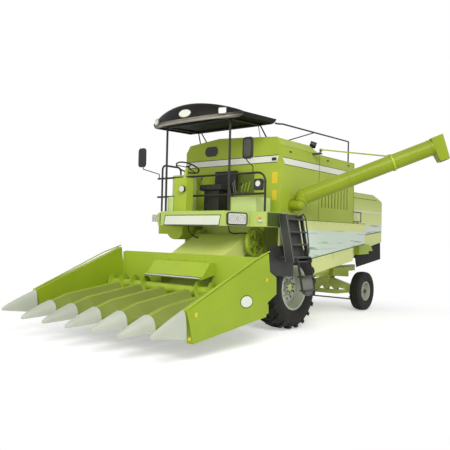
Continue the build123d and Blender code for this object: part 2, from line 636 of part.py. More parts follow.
for i in range(-rows // 2 + 1, rows // 2):
    x = i * row_pitch
    sections = [hood_section(x, *row) for row in hood_rows]
    hoods.append(loft(sections, ruled=True))
    tip = Pos(0, -3976, 0) * (Plane.XZ * outline([(x - 30, 325), (x + 30, 325), (x + 30, 360), (x + 12, 385),
                                                  (x - 12, 385), (x - 30, 360)]))
    base = under(-3484) + 152
    rear = Pos(0, -3480 - seat_gap, 0) * (Plane.XZ * outline([(x - 165, base - 5), (x + 165, base - 5), (x + 165, base + 70),
                                                   (x + 60, 585), (x - 60, 585), (x - 165, base + 70)]))
    points.append(loft([tip, rear], ruled=True))
save("divider_hoods", hoods)
for side_x in (1, -1):
    x = side_x * (header_half - end_panel / 2)
    tip = Pos(0, -3960, 0) * (Plane.XZ * outline([(x - 30, 400), (x + 30, 400), (x + 30, 430), (x + 12, 450),
                                                  (x - 12, 450), (x - 30, 430)]))
    rear = Pos(0, -3400 - seat_gap, 0) * (Plane.XZ * outline([(x - 110, 330), (x + 55, 330), (x + 55, 560), (x + 20, 700),
                                                   (x - 20, 700), (x - 110, 560)]))
    points.append(loft([tip, rear], ruled=True))
save("divider_points", points)

# Row units: frame arms under the hoods, deck plates and gathering chains beside each slot
arms, chains = [], []
hood_seat = 152
for i in range(rows):
    x = (i - (rows - 1) / 2) * row_pitch
    for side_x in (1, -1):
        inner, outer = sorted((x + side_x * 85, x + side_x * 120))
        arm = from_side([(-3250, under(-3250) + 40), (toolbar_y, under(toolbar_y) + 40),
                         (toolbar_y, under(toolbar_y) + hood_seat - seat_gap),
                         (-3250, under(-3250) + hood_seat - seat_gap)], inner, outer)
        inner, outer = sorted((x + side_x * 18, x + side_x * 90))
        arm += from_side([(-3250, under(-3250) + 118), (toolbar_y, under(toolbar_y) + 118),
                          (toolbar_y, under(toolbar_y) + 130), (-3250, under(-3250) + 130)], inner, outer)
        arms.append(arm)
save("row_arms", arms)

# Cross auger
auger = across(-inner_half + 10, inner_half - 10, auger_y, auger_z, auger_tube)
flight_count = 7
for i in range(flight_count):
    for side_x in (1, -1):
        x = side_x * (520 + i * 160)
        disc = Pos(x, auger_y, auger_z) * Rot(0, 90 + side_x * 12, 0) * Cylinder(auger_radius - 6, 8)
        auger += disc
auger += across(-inner_half - 60, inner_half + 60, auger_y, auger_z, 30)
save("header_auger", auger)
hood_box = from_side([(wall_y, 1210), (-1660, 1210), (-1850, 980), (-1832, 976), (-1652, 1194),
                      (wall_y, 1194)], -650, 650)
cap = from_side([(wall_y, 1210), (-1660, 1210), (-1850, 980), (-1915, 980), (-1915, 938), (-1860, 938),
                 (wall_y, 1003)], 640, 650)
save("auger_hood", hood_box + cap + other_side(cap) + across(-650, 650, -1892, 959, 18))

# Unloading auger on its leaning swing axis, with two stays
swing = (stay_anchor - elbow).normalized()
reach = spout_tip - elbow
tube_dir = reach.normalized()
base_top = elbow - swing * 170
base_low = elbow - swing * 215
collar_top = base_top - swing * moving_gap
unloader_base = rod(base_low, collar_top, 150) + rod(base_low, elbow - swing * 90, 60)
unloader_base += block(shell_half, elbow.X + 25, -90, 80, 2095, 2160)
save("unloader_base", unloader_base)
tube = rod(elbow, spout_tip, unload_radius) + rod(base_top, elbow, 140) + Pos(*elbow) * Sphere(unload_radius)
tube -= rod(base_low, elbow - swing * 80, 60 + shaft_gap)
spout_plane = Plane(origin=spout_tip, z_dir=tube_dir, x_dir=tube_dir.cross(Vector(0, 0, 1)))
tube += extrude(spout_plane * Rectangle(330, 330), amount=230)
save("unloader_tube", tube)
grip = elbow + reach * 0.7
collar = rod(grip - tube_dir * 20, grip + tube_dir * 20, unload_radius + 14)
collar -= rod(grip - tube_dir * 30, grip + tube_dir * 30, unload_radius + seat_gap)
stays = rod(stay_anchor - swing * 15, stay_anchor + swing * 15, 32) + collar
to_anchor = stay_anchor - grip
outward = (to_anchor - tube_dir * to_anchor.dot(tube_dir)).normalized()
stays += rod(grip + outward * (unload_radius + 4), grip + outward * (unload_radius + 60), 18)
for off in (50, 18):
    stays += rod(stay_anchor + swing * off * 0.3, grip + outward * (unload_radius + 10 + off * 0.7), 8)
stays -= rod(stay_anchor - swing * 200, stay_anchor + swing * 200, 14 + shaft_gap)
save("unloader_stays", stays)
pin_foot = stay_anchor - swing * 75
save("stay_bracket", rod(pin_foot, stay_anchor + swing * 30, 14)
     + block(shell_half, pin_foot.X + 30, pin_foot.Y - 40, pin_foot.Y + 40, 3262, 3292))

print("saved", len(os.listdir("parts")), "nodes")
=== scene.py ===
import json
import math
import bmesh
import bpy
from mathutils import Matrix, Vector


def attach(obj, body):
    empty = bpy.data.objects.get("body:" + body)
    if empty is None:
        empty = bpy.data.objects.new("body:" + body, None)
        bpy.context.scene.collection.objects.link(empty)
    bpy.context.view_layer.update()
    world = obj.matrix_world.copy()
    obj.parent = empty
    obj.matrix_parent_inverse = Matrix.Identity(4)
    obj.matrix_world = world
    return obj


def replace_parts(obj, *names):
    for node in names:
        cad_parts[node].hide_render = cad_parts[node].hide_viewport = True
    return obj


# Combine harvester: finishes and fine pieces, set round the fixed frame
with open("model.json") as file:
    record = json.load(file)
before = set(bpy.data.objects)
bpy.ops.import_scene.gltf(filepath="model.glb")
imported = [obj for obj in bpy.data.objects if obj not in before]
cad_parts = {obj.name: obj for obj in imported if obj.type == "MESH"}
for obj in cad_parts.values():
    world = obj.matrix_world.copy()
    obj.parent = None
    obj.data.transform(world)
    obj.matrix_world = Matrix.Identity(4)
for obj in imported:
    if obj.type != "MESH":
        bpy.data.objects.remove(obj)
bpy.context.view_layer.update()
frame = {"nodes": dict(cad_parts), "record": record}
rowShift = Vector((-0.863, -0.407, 0.0))     # from the machine's centreline and front axle to the row frame


def srgb(red, green, blue):
    def linear(value):
        value /= 255
        return value / 12.92 if value <= 0.04045 else ((value + 0.055) / 1.055) ** 2.4
    return (linear(red), linear(green), linear(blue), 1.0)


def place(x, y, z):
    return Vector((x, y, z)) + rowShift


# Node helpers: every value given to a node is a link from another node, or a plain number or colour
def feed(tree, sockets, values):
    for label, value in values.items():
        if hasattr(value, "is_output"):
            tree.links.new(value, sockets[label])
        else:
            sockets[label].default_value = value


def addNode(tree, kind, inputs=None, **settings):
    node = tree.nodes.new("ShaderNode" + kind)
    for key, value in settings.items():
        setattr(node, key, value)
    feed(tree, node.inputs, inputs or {})
    return node


def mathNode(tree, operation, first, second, clamp=False):
    return addNode(tree, "Math", {0: first, 1: second}, operation=operation, use_clamp=clamp).outputs[0]


def plus(tree, first, second, clamp=False):
    return mathNode(tree, "ADD", first, second, clamp)


def minus(tree, first, second, clamp=False):
    return mathNode(tree, "SUBTRACT", first, second, clamp)


def times(tree, first, second, clamp=False):
    return mathNode(tree, "MULTIPLY", first, second, clamp)


def mixColour(tree, factor, first, second):
    return addNode(tree, "Mix", {0: factor, 6: first, 7: second}, data_type="RGBA").outputs[2]


def noiseOf(tree, vector, scale, detail, roughness=0.5):
    return addNode(tree, "TexNoise", {"Vector": vector, "Scale": scale, "Detail": detail,
                                      "Roughness": roughness}).outputs["Fac"]


def rangeOf(tree, value, low, high, start=0.0, end=1.0, curve="LINEAR"):
    return addNode(tree, "MapRange", {"Value": value, "From Min": low, "From Max": high, "To Min": start,
                                      "To Max": end}, interpolation_type=curve).outputs[0]


def axisOf(tree, vector, axis):
    return addNode(tree, "SeparateXYZ", {0: vector}).outputs[axis]


def facingMask(tree, axis, low, high):
    # How far a face looks along one axis of the machine
    return rangeOf(tree, axisOf(tree, addNode(tree, "NewGeometry").outputs["True Normal"], axis), low, high)


# Node groups shared by several finishes
def newGroup(name, inputs, outputs):
    group = bpy.data.node_groups.new(name, "ShaderNodeTree")
    group.interface.new_socket(name="Vector", in_out="INPUT", socket_type="NodeSocketVector")
    for label, value in inputs.items():
        socket = group.interface.new_socket(name=label, in_out="INPUT", socket_type="NodeSocketFloat")
        socket.default_value = value
    for label in outputs:
        group.interface.new_socket(name=label, in_out="OUTPUT", socket_type="NodeSocketFloat")
    return group, group.nodes.new("NodeGroupInput").outputs, group.nodes.new("NodeGroupOutput").inputs


def buildDustGroup():
    # Soft field dust: more of it low on the machine and on faces that look up
    group, given, result = newGroup("fieldDust", {"Low": 0.2, "High": 1.4, "Amount": 0.3}, ("Mask",))
    height = rangeOf(group, axisOf(group, given["Vector"], "Z"), given["Low"], given["High"], 1.0, 0.15)
    normal = addNode(group, "NewGeometry").outputs["Normal"]
    lookingUp = times(group, axisOf(group, normal, "Z"), 0.5, clamp=True)
    spread = plus(group, times(group, height, 0.7), lookingUp)
    cloud = noiseOf(group, given["Vector"], 3.5, 6.0, 0.62)
    speck = minus(group, times(group, cloud, 2.2), 0.55, clamp=True)
    mask = times(group, times(group, spread, speck), given["Amount"], clamp=True)
    feed(group, result, {"Mask": mask})
    return group


def buildSheetGroup():
    # Pressed sheet metal: slow waves in the panel and a faint orange peel in the paint
    group, given, result = newGroup("sheetWaves", {"Waves": 1.2, "Peel": 160.0}, ("Height", "Tone"))
    waves = noiseOf(group, given["Vector"], given["Waves"], 2.0, 0.4)
    peel = noiseOf(group, given["Vector"], given["Peel"], 3.0)
    feed(group, result, {"Height": plus(group, waves, times(group, peel, 0.0001)), "Tone": waves})
    return group


def buildGrainGroup():
    # Fine grain of rubber and moulded plastic
    group, given, result = newGroup("mouldGrain", {"Scale": 220.0}, ("Height", "Tone"))
    feed(group, result, {"Height": noiseOf(group, given["Vector"], given["Scale"], 4.0, 0.6),
                         "Tone": noiseOf(group, given["Vector"], 5.0, 4.0, 0.55)})
    return group


dustGroup = buildDustGroup()
sheetGroup = buildSheetGroup()
grainGroup = buildGrainGroup()


def useGroup(tree, group, vector, **values):
    return addNode(tree, "Group", {"Vector": vector, **values}, node_tree=group).outputs


def newMaterial(name):
    material = bpy.data.materials.new(name)
    material.use_nodes = True
    tree = material.node_tree
    return material, tree, tree.nodes["Principled BSDF"], addNode(tree, "TexCoord").outputs["Object"]


def bumpOf(tree, height, strength, distance):
    bump = addNode(tree, "Bump", {"Height": height, "Strength": strength, "Distance": distance})
    return bump.outputs["Normal"]


def twoTones(tree, tone, deep, light):
    return mixColour(tree, tone, srgb(*deep), srgb(*light))


soil = {"paint": (138, 130, 92), "black": (128, 118, 96), "metal": (140, 130, 108)}


def dusted(tree, vector, base, amount, under):
    # The colour with the dust of that finish on it, and where the dust lies
    mask = useGroup(tree, dustGroup, vector, Amount=amount)["Mask"]
    return mixColour(tree, mask, base, srgb(*soil[under])), mask


def paintedSheet(name, deep, light, rough=0.36, dust=0.2, heights=None, roof=None):
    # Glossy paint: two tones that meet slowly or by height, painted shade in a darker roof tone where it
    # looks up, waves in the sheet
    material, tree, shader, vector = newMaterial(name)
    sheet = useGroup(tree, sheetGroup, vector)
    tone = sheet["Tone"]
    if heights:
        tone = minus(tree, 1.0, rangeOf(tree, axisOf(tree, vector, "Z"), *heights, curve="SMOOTHSTEP"))
    base = twoTones(tree, tone, deep, light)
    # Painted shade: faces that look up take the darker roof tone
    if roof:
        base = mixColour(tree, facingMask(tree, "Z", 0.55, 0.85), base, srgb(*roof))
    colour, mask = dusted(tree, vector, base, dust, "paint")
    feed(tree, shader.inputs, {
        "Base Color": colour, "Roughness": plus(tree, times(tree, mask, 0.6), rough),
        "Coat Weight": 0.06, "Coat Roughness": 0.1, "Specular IOR Level": 0.18,
        "Normal": bumpOf(tree, sheet["Height"], 0.1, 0.004)})
    return material


def mouldedBlack(name, dark, rough, scale, dust=0.25, strength=0.2):
    # Rubber, plastic and black paint with a fine grain
    material, tree, shader, vector = newMaterial(name)
    grain = useGroup(tree, grainGroup, vector, Scale=scale)
    deep = srgb(*dark)
    pale = tuple(min(1.0, value * 1.9 + 0.004) for value in deep[:3]) + (1.0,)
    base = mixColour(tree, grain["Tone"], deep, pale)
    feed(tree, shader.inputs, {
        "Base Color": dusted(tree, vector, base, dust, "black")[0],
        "Roughness": plus(tree, times(tree, grain["Tone"], 0.18), rough),
        "Specular IOR Level": 0.3, "Normal": bumpOf(tree, grain["Height"], strength, 0.002)})
    return material


def brushedMetal(name, bright, rough, metallic=1.0, dust=0.1):
    # Metal with fine upright brushing
    material, tree, shader, vector = newMaterial(name)
    stretched = addNode(tree, "Mapping", {"Vector": vector, "Scale": (6.0, 6.0, 160.0)}).outputs["Vector"]
    noise = noiseOf(tree, stretched, 6.0, 5.0, 0.6)
    light = srgb(*bright)
    deep = tuple(value * 0.72 for value in light[:3]) + (1.0,)
    base = mixColour(tree, noise, deep, light)
    feed(tree, shader.inputs, {
        "Base Color": dusted(tree, vector, base, dust, "metal")[0], "Metallic": metallic,
        "Roughness": plus(tree, times(tree, noise, 0.2), rough), "Normal": bumpOf(tree, noise, 0.08, 0.001)})
    return material


def canopyShell(name):
    # Dark brown shell with a pale painted reflection of the floor on its rolled front lower edge, and a
    # near-black painted shade on its underside
    material, tree, shader, vector = newMaterial(name)
    grain = useGroup(tree, grainGroup, vector, Scale=90.0)
    top, paintedGlare, under = [twoTones(tree, grain["Tone"], *tones) for tones in (
        ((16, 14, 13), (32, 28, 25)), ((120, 114, 102), (196, 190, 176)), ((4, 4, 4), (8, 8, 8)))]
    # Painted reflection: the front lip's faces that look partly down take the pale tone
    frontOnly = rangeOf(tree, axisOf(tree, vector, "Y"), -1.76, -1.90)
    shell = mixColour(tree, times(tree, facingMask(tree, "Z", -0.12, -0.45), frontOnly), top, paintedGlare)
    # Painted shade: faces that look down take the near-black tone and turn rougher
    looksDown = facingMask(tree, "Z", -0.72, -0.9)
    feed(tree, shader.inputs, {
        "Base Color": mixColour(tree, looksDown, shell, under), "Specular IOR Level": 0.14,
        "Roughness": plus(tree, times(tree, looksDown, 0.3), 0.34),
        "Normal": bumpOf(tree, grain["Height"], 0.06, 0.002)})
    return material


def bandFilm(name):
    # Pale film along the sides, with darker streaks that run out toward its rear and lower edge
    material, tree, shader, vector = newMaterial(name)
    drawnOut = addNode(tree, "Mapping", {"Vector": vector, "Scale": (1.0, 0.5, 9.0),
                                         "Rotation": (math.radians(7), 0.0, 0.0)}).outputs["Vector"]
    peaks = minus(tree, noiseOf(tree, drawnOut, 2.2, 4.0, 0.55), 0.56, clamp=True)
    thin = times(tree, peaks, 9.0, clamp=True)
    slow = noiseOf(tree, vector, 1.1, 2.0)
    base = twoTones(tree, slow, (206, 226, 206), (228, 238, 222))
    feed(tree, shader.inputs, {
        "Base Color": mixColour(tree, times(tree, thin, 0.75), base, srgb(78, 128, 112)),
        "Roughness": plus(tree, times(tree, slow, 0.15), 0.22), "Normal": bumpOf(tree, slow, 0.1, 0.005)})
    return material


paint = {
    "lime": paintedSheet("limePaint", (154, 174, 46), (180, 198, 68), roof=(142, 158, 42)),
    "header": paintedSheet("headerPaint", (154, 178, 42), (178, 202, 60), dust=0.3),
    "panel": paintedSheet("endPanelPaint", (138, 164, 26), (164, 188, 42)),
    "tube": paintedSheet("tubePaint", (126, 142, 22), (152, 168, 36), dust=0.1),
    # Lime lightened for the frame, axles and feeder under the body: painted light where the lamps reach
    # little
    "frame": paintedSheet("frameLitPaint", (208, 222, 110), (226, 236, 138), dust=0.15),
    "olive": paintedSheet("hoodOlive", (112, 128, 44), (142, 158, 62), dust=0.35),
    "pale": paintedSheet("paleLimePaint", (172, 190, 74), (228, 236, 156), heights=(1.9, 2.9),
                         roof=(136, 150, 44)),
    # Lime lightened for the platform, so its forward faces look lit: painted light
    "deckFace": paintedSheet("deckLitPaint", (176, 200, 96), (196, 212, 120), dust=0.12),
    "cabinet": paintedSheet("cabinetPaint", (190, 210, 126), (208, 222, 150), dust=0.1),
    "silver": paintedSheet("silverPaint", (160, 166, 150), (212, 218, 202)),
    "rim": paintedSheet("rimPaint", (168, 176, 154), (202, 208, 188), 0.38, dust=0.15),
    "white": paintedSheet("whiteFilm", (222, 226, 206), (238, 240, 228), 0.3, dust=0.05),
    "yellow": paintedSheet("yellowFilm", (214, 190, 36), (232, 210, 56), 0.35, dust=0.05),
    "orange": paintedSheet("orangeLens", (214, 120, 20), (236, 156, 48), 0.14, dust=0.04),
    "seam": paintedSheet("seamShade", (92, 108, 40), (110, 126, 50), 0.5, dust=0.1),
    "darkGreen": paintedSheet("darkGreenPaint", (66, 84, 38), (88, 106, 50), 0.45, dust=0.15),
    "band": bandFilm("sideBand"),
    "black": mouldedBlack("blackPaint", (26, 27, 26), 0.3, 60.0, strength=0.04),
    "charcoal": mouldedBlack("ladderPaint", (44, 45, 42), 0.34, 80.0, dust=0.15, strength=0.05),
    "canopy": canopyShell("canopyShell"),
    "rubber": mouldedBlack("curtainRubber", (22, 21, 20), 0.66, 180.0, dust=0.1),
    "tyre": mouldedBlack("tyreRubber", (13, 15, 14), 0.68, 240.0, dust=0.12, strength=0.3),
    "iron": mouldedBlack("darkIron", (58, 60, 52), 0.55, 140.0, dust=0.4, strength=0.3),
    "seat": mouldedBlack("seatCover", (28, 28, 29), 0.5, 300.0, dust=0.08, strength=0.3),
    "pane": mouldedBlack("darkPane", (40, 42, 40), 0.08, 20.0, dust=0.05, strength=0.02),
    "grey": brushedMetal("greySteel", (128, 130, 120), 0.38, metallic=0.6),
    "bright": brushedMetal("brightSteel", (214, 214, 212), 0.16),
    "lens": brushedMetal("lampLens", (232, 232, 226), 0.1, metallic=0.45, dust=0.02),
}
print("finishes made:", len(paint))

slotPaint = {
    "green_paint": "lime", "pale_green_paint": "pale", "silver_paint": "silver", "black_paint": "black",
    "black_sheet": "black", "curtain_rubber": "rubber", "tyre_rubber": "tyre", "rim_paint": "rim",
    "lamp_lens": "lens", "seat_cover": "seat", "grey_steel": "grey", "bright_steel": "bright",
    "dark_iron": "iron",
}
nodePaint = {
    "header_frame": "header", "header_end_panels": "panel", "divider_hoods": "olive", "auger_hood": "header",
    "feeder_house": "frame", "feeder_hangers": "frame", "feeder_pulley": "header", "frame_rails": "frame",
    "drive_axle": "frame", "rear_axle": "frame", "threshing_body": "frame", "engine_bay": "lime",
    "canopy": "canopy", "control_cabinets": "cabinet", "platform": "deckFace", "ladder_upper": "charcoal",
    "marker_lamps": "lens", "ladder_lower": "charcoal",
}
for part in frame["record"]["subparts"]:
    node = frame["nodes"][part["node"]]
    chosen = paint[nodePaint.get(part["node"], slotPaint[part["material_slot"]])]
    node.data.materials.clear()
    node.data.materials.append(chosen)
print("frame nodes painted:", len(frame["nodes"]))


# Mesh helpers: every piece is drawn in the machine's own frame, and shifted once when it is finished
leftward, rearward, upward = (1, 0, 0), (0, 1, 0), (0, 0, 1)
bothSides = (1, -1)
sideLabels = ((1, "Left"), (-1, "Right"))


def aimed(direction):
    return Vector(direction).to_track_quat("Z", "Y").to_matrix().to_4x4()


def addBox(bm, low, high):
    size = [abs(b - a) for a, b in zip(low, high)]
    middle = [(a + b) / 2 for a, b in zip(low, high)]
    bmesh.ops.create_cube(bm, size=1.0, matrix=Matrix.Translation(middle) @ Matrix.Diagonal(size).to_4x4())


def addRod(bm, start, end, radius, sides=16, tip=None):
    start, end = Vector(start), Vector(end)
    bmesh.ops.create_cone(bm, cap_ends=True, segments=sides, radius1=radius,
                          radius2=radius if tip is None else tip, depth=(end - start).length,
                          matrix=Matrix.Translation((start + end) / 2) @ aimed(end - start))


def addBall(bm, middle, radius, turns, rows):
    bmesh.ops.create_uvsphere(bm, u_segments=turns, v_segments=rows, radius=radius,
                              matrix=Matrix.Translation(middle))


def pushFaces(bm, faces, move):
    grown = bmesh.ops.extrude_face_region(bm, geom=faces)["geom"]
    bmesh.ops.translate(bm, vec=move, verts=[item for item in grown if isinstance(item, bmesh.types.BMVert)])


def addPlate(bm, corners, thick):
    # Corners run anticlockwise seen from outside
    face = bm.faces.new([bm.verts.new(corner) for corner in corners])
    face.normal_update()
    pushFaces(bm, [face], face.normal * thick)


def addFrontPlate(bm, y, profile, thick):
    # A plate that looks forward, from its (x, z) outline
    addPlate(bm, [(x, y, z) for x, z in profile], thick)


def addSidePlates(bm, x, profiles, thick):
    # Plates on both flanks, from their (y, z) outlines seen from the left
    for profile in profiles:
        addPlate(bm, [(x, y, z) for y, z in profile], thick)
        addPlate(bm, [(-x, y, z) for y, z in reversed(profile)], thick)


def addFlank(bm, profile, inner, outer):
    # A closed solid from its (y, z) outline, pushed across from one X to another
    addPlate(bm, [(outer, y, z) for y, z in profile], inner - outer)


def addPanel(bm, middle, right, up, width, height, thick, corner=0.0, band=0.0, oval=False):
    # A plate, or with a band a frame, with rounded corners or an oval outline
    small = bmesh.new()
    shape = Matrix.Diagonal((width, height, 1.0, 1.0))
    if oval:
        bmesh.ops.create_circle(small, cap_ends=True, segments=36, radius=0.5, matrix=shape)
    else:
        bmesh.ops.create_grid(small, x_segments=1, y_segments=1, size=0.5, matrix=shape)
        if corner:
            bmesh.ops.bevel(small, geom=small.verts[:], offset=corner, segments=5, affect="VERTICES",
                            profile=0.5, material=-1)
    if band:
        inside = small.faces[:]
        bmesh.ops.inset_region(small, faces=inside, thickness=band, use_boundary=True, use_even_offset=True)
        bmesh.ops.delete(small, geom=inside, context="FACES_ONLY")
    pushFaces(small, small.faces[:], (0.0, 0.0, thick))
    right, up = Vector(right).normalized(), Vector(up).normalized()
    turn = Matrix((right, up, right.cross(up))).transposed().to_4x4()
    bmesh.ops.transform(small, matrix=Matrix.Translation(middle) @ turn, verts=small.verts)
    carrier = bpy.data.meshes.new("carrier")
    small.to_mesh(carrier)
    small.free()
    bm.from_mesh(carrier)
    bpy.data.meshes.remove(carrier)


def addFrontPanel(bm, middle, width, height, thick, **shape):
    addPanel(bm, middle, leftward, upward, width, height, thick, **shape)


def addFlankPanels(bm, x, y, z, width, height, thick, up=upward, **shape):
    for side in bothSides:
        addPanel(bm, (side * x, y, z), (0, side, 0), up, width, height, thick, **shape)


def addTorus(bm, middle, axis, radius, thick, turns=40, sides=8):
    turn = Matrix.Translation(middle) @ aimed(axis)
    start = turn @ Matrix.Translation((radius, 0.0, 0.0)) @ Matrix.Rotation(math.pi / 2, 4, "X")
    ring = bmesh.ops.create_circle(bm, cap_ends=False, segments=sides, radius=thick, matrix=start)
    edges = list({edge for vert in ring["verts"] for edge in vert.link_edges})
    bmesh.ops.spin(bm, geom=ring["verts"] + edges, cent=middle, axis=aimed(axis).to_3x3() @ Vector(upward),
                   angle=math.tau, steps=turns, use_merge=True, use_duplicate=False)


def addBend(bm, points, radius, smooth=4):
    # A bent rod: a round section along a smooth curve through its corner points
    curve = bpy.data.curves.new("bend", "CURVE")
    curve.dimensions = "3D"
    curve.bevel_depth = radius
    curve.bevel_resolution = 2
    curve.use_fill_caps = True
    curve.resolution_u = smooth
    spline = curve.splines.new("NURBS")
    spline.points.add(len(points) - 1)
    for point, target in zip(spline.points, points):
        point.co = (*target, 1.0)
    spline.order_u = 3
    spline.use_endpoint_u = True
    holder = bpy.data.objects.new("bend", curve)
    carrier = bpy.data.meshes.new_from_object(holder)
    bm.from_mesh(carrier)
    bpy.data.meshes.remove(carrier)
    bpy.data.objects.remove(holder)
    bpy.data.curves.remove(curve)


def addPipe(bm, points, radius, bend):
    # A bent tube: straight runs that turn through a round elbow at each corner
    route = [Vector(points[0])]
    for before, corner, after in zip(points, points[1:], points[2:]):
        before, corner, after = Vector(before), Vector(corner), Vector(after)
        route += [corner + (before - corner).normalized() * bend, corner,
                  corner + (after - corner).normalized() * bend]
    addBend(bm, route + [Vector(points[-1])], radius, smooth=5)


def addRings(bm, rings):
    # A closed skin through rings of points that all have the same number of points
    rows = [[bm.verts.new(point) for point in ring] for ring in rings]
    count = len(rows[0])
    for low, high in zip(rows, rows[1:]):
        for k in range(count):
            following = (k + 1) % count
            bm.faces.new((low[k], low[following], high[following], high[k]))
    bm.faces.new(reversed(rows[0]))
    bm.faces.new(rows[-1])


pieceCount = []


def hang(name, data):
    holder = bpy.data.objects.new(name, data)
    bpy.context.scene.collection.objects.link(holder)
    return holder


def newObject(name, bm):
    mesh = bpy.data.meshes.new(name)
    bm.to_mesh(mesh)
    bm.free()
    return hang(name, mesh)


def finishPiece(bm, name, finish, body="chassis", bevel=0.0, smooth=False):
    bmesh.ops.transform(bm, matrix=Matrix.Translation(rowShift), verts=bm.verts)
    bmesh.ops.recalc_face_normals(bm, faces=bm.faces)
    piece = newObject(name, bm)
    piece.data.materials.append(paint[finish])
    if bevel:
        softened = piece.modifiers.new("softEdges", "BEVEL")
        softened.width = bevel
        softened.segments = 2
        softened.limit_method = "ANGLE"
    if smooth:
        for polygon in piece.data.polygons:
            polygon.use_smooth = True
        piece.data.set_sharp_from_angle(angle=math.radians(38))
    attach(piece, body)
    pieceCount.append(name)
    return piece


# Stripes and films on the sides and the tank's front: side outlines are (y, z), front outlines (x, z)
films = {
    "flank": 1.150,              # plane of the tank, engine bay and shields
    "hoodFlank": 0.830,
    "tankFront": -0.360,
    "endPanel": 1.7605,
    "thick": 0.0012, "streakRise": 1.6,
    "tankStripe": ((-1.12, 3.01), (1.06, 3.01), (1.09, 3.12), (-1.12, 3.12)),
    "tankEdges": ((-1.12, 2.996, 1.06, 3.010), (-1.12, 3.120, 1.09, 3.134)),
    "flankStripe": ((-0.24, 2.975), (2.40, 2.975), (2.44, 3.085), (-0.33, 3.085)),
    "flankEdges": (((-0.25, 2.963), (2.39, 2.963), (2.39, 2.975), (-0.25, 2.975)),
                   ((-0.33, 3.085), (2.44, 3.085), (2.44, 3.097), (-0.33, 3.097))),
    "hoodStripe": ((2.62, 2.290), (4.74, 2.290), (4.74, 2.315), (2.62, 2.315)),
    "flankBand": ((0.70, 1.262), (3.11, 1.552), (3.11, 1.81), (0.24, 1.81)),
    "hoodBand": ((3.13, 1.690), (4.73, 1.850), (4.73, 2.020), (3.13, 1.930)),
    "flankBandEdge": ((0.70, 1.240), (3.11, 1.532), (3.11, 1.552), (0.70, 1.262)),
    "hoodBandEdge": ((3.13, 1.668), (4.73, 1.830), (4.73, 1.850), (3.13, 1.690)),
    "streaks": (((1.95, 1.452), (2.75, 1.700), (3.05, 1.722), (2.80, 1.690)),
                ((1.35, 1.352), (1.75, 1.500), (2.60, 1.560), (2.10, 1.505))),
    "tankMarks": ((1.015, 2.725, 0.120, 0.210), (1.0125, 2.410, 0.095, 0.180)),     # x, z, width, height
    "panelMarks": ((-3.225, 0.628, 0.05, 0.06), (-1.62, 1.002, 0.06, 0.06), (-3.345, 0.330, 0.05, 0.04)),
}


def buildFilms():
    form, front, thick = films, films["tankFront"], films["thick"]
    flank, hood = form["flank"], form["hoodFlank"]
    bm = bmesh.new()
    addFrontPlate(bm, front, form["tankStripe"], thick)
    addSidePlates(bm, flank, [form["flankStripe"]], thick)
    addSidePlates(bm, hood, [form["hoodStripe"]], thick)
    finishPiece(bm, "whiteStripes", "white")
    bm = bmesh.new()
    for x0, z0, x1, z1 in form["tankEdges"]:
        addFrontPlate(bm, front, ((x0, z0), (x1, z0), (x1, z1), (x0, z1)), thick)
    addSidePlates(bm, flank, form["flankEdges"], thick)
    finishPiece(bm, "stripeEdges", "charcoal")
    bm = bmesh.new()
    addSidePlates(bm, flank, [form["flankBand"]], thick)
    addSidePlates(bm, hood, [form["hoodBand"]], thick)
    finishPiece(bm, "sideBands", "band")
    bm = bmesh.new()
    addSidePlates(bm, flank, [form["flankBandEdge"]], thick)
    addSidePlates(bm, hood, [form["hoodBandEdge"]], thick)
    addSidePlates(bm, flank, form["streaks"], thick * form["streakRise"])
    finishPiece(bm, "bandEdges", "darkGreen")
    bm = bmesh.new()
    for x, z, wide, tall in form["tankMarks"]:
        addFrontPanel(bm, (x, front, z), wide, tall, thick, corner=0.012)
    finishPiece(bm, "tankMarks", "yellow")
    bm = bmesh.new()
    for y, z, wide, tall in form["panelMarks"]:
        addFlankPanels(bm, form["endPanel"], y, z, wide, tall, 0.002, corner=0.008)
    finishPiece(bm, "panelMarks", "yellow", body="header")


buildFilms()


# Nose of the platform: bare name panel, framed lamps, indicators and the ribbed panel
nose = {
    "front": -1.450,
    "panel": ((-0.655, 1.845), (0.635, 1.845), (0.672, 2.005), (-0.617, 2.005)), "edge": 0.012,
    "lampTilt": (0.928, -0.371), "lampMiddle": (0.840, -1.225, 1.955), "lampSize": (0.360, 0.180),
    "reflectors": (-0.085, 0.085), "reflector": 0.062, "lampBars": (-0.168, 0.0, 0.168),
    "rightLamp": (-1.365, -1.012, 1.975), "rightRings": ((0.055, 0.004, 28), (0.026, 0.003, 20)),
    "indicator": (1.185, -1.030, 1.972), "indicatorSize": (0.062, 0.040, 0.010),
    "tailLamp": (0.76, 4.7605, 1.90), "tailLampSize": (0.09, 0.14, 0.026),
    "ribbed": (1.2805, -0.715, 1.957), "ribbedSize": (0.47, 0.235, 0.004),
    "ribs": 11, "firstRib": -0.92, "ribStep": 0.041, "ribSize": (0.018, 0.20, 0.008),
}


def lampPlace(side):
    middle, tilt = nose["lampMiddle"], nose["lampTilt"]
    out = Vector((side * tilt[0], tilt[1], 0.0))
    return Vector((side * middle[0], middle[1], middle[2])), out, Vector(upward).cross(out)


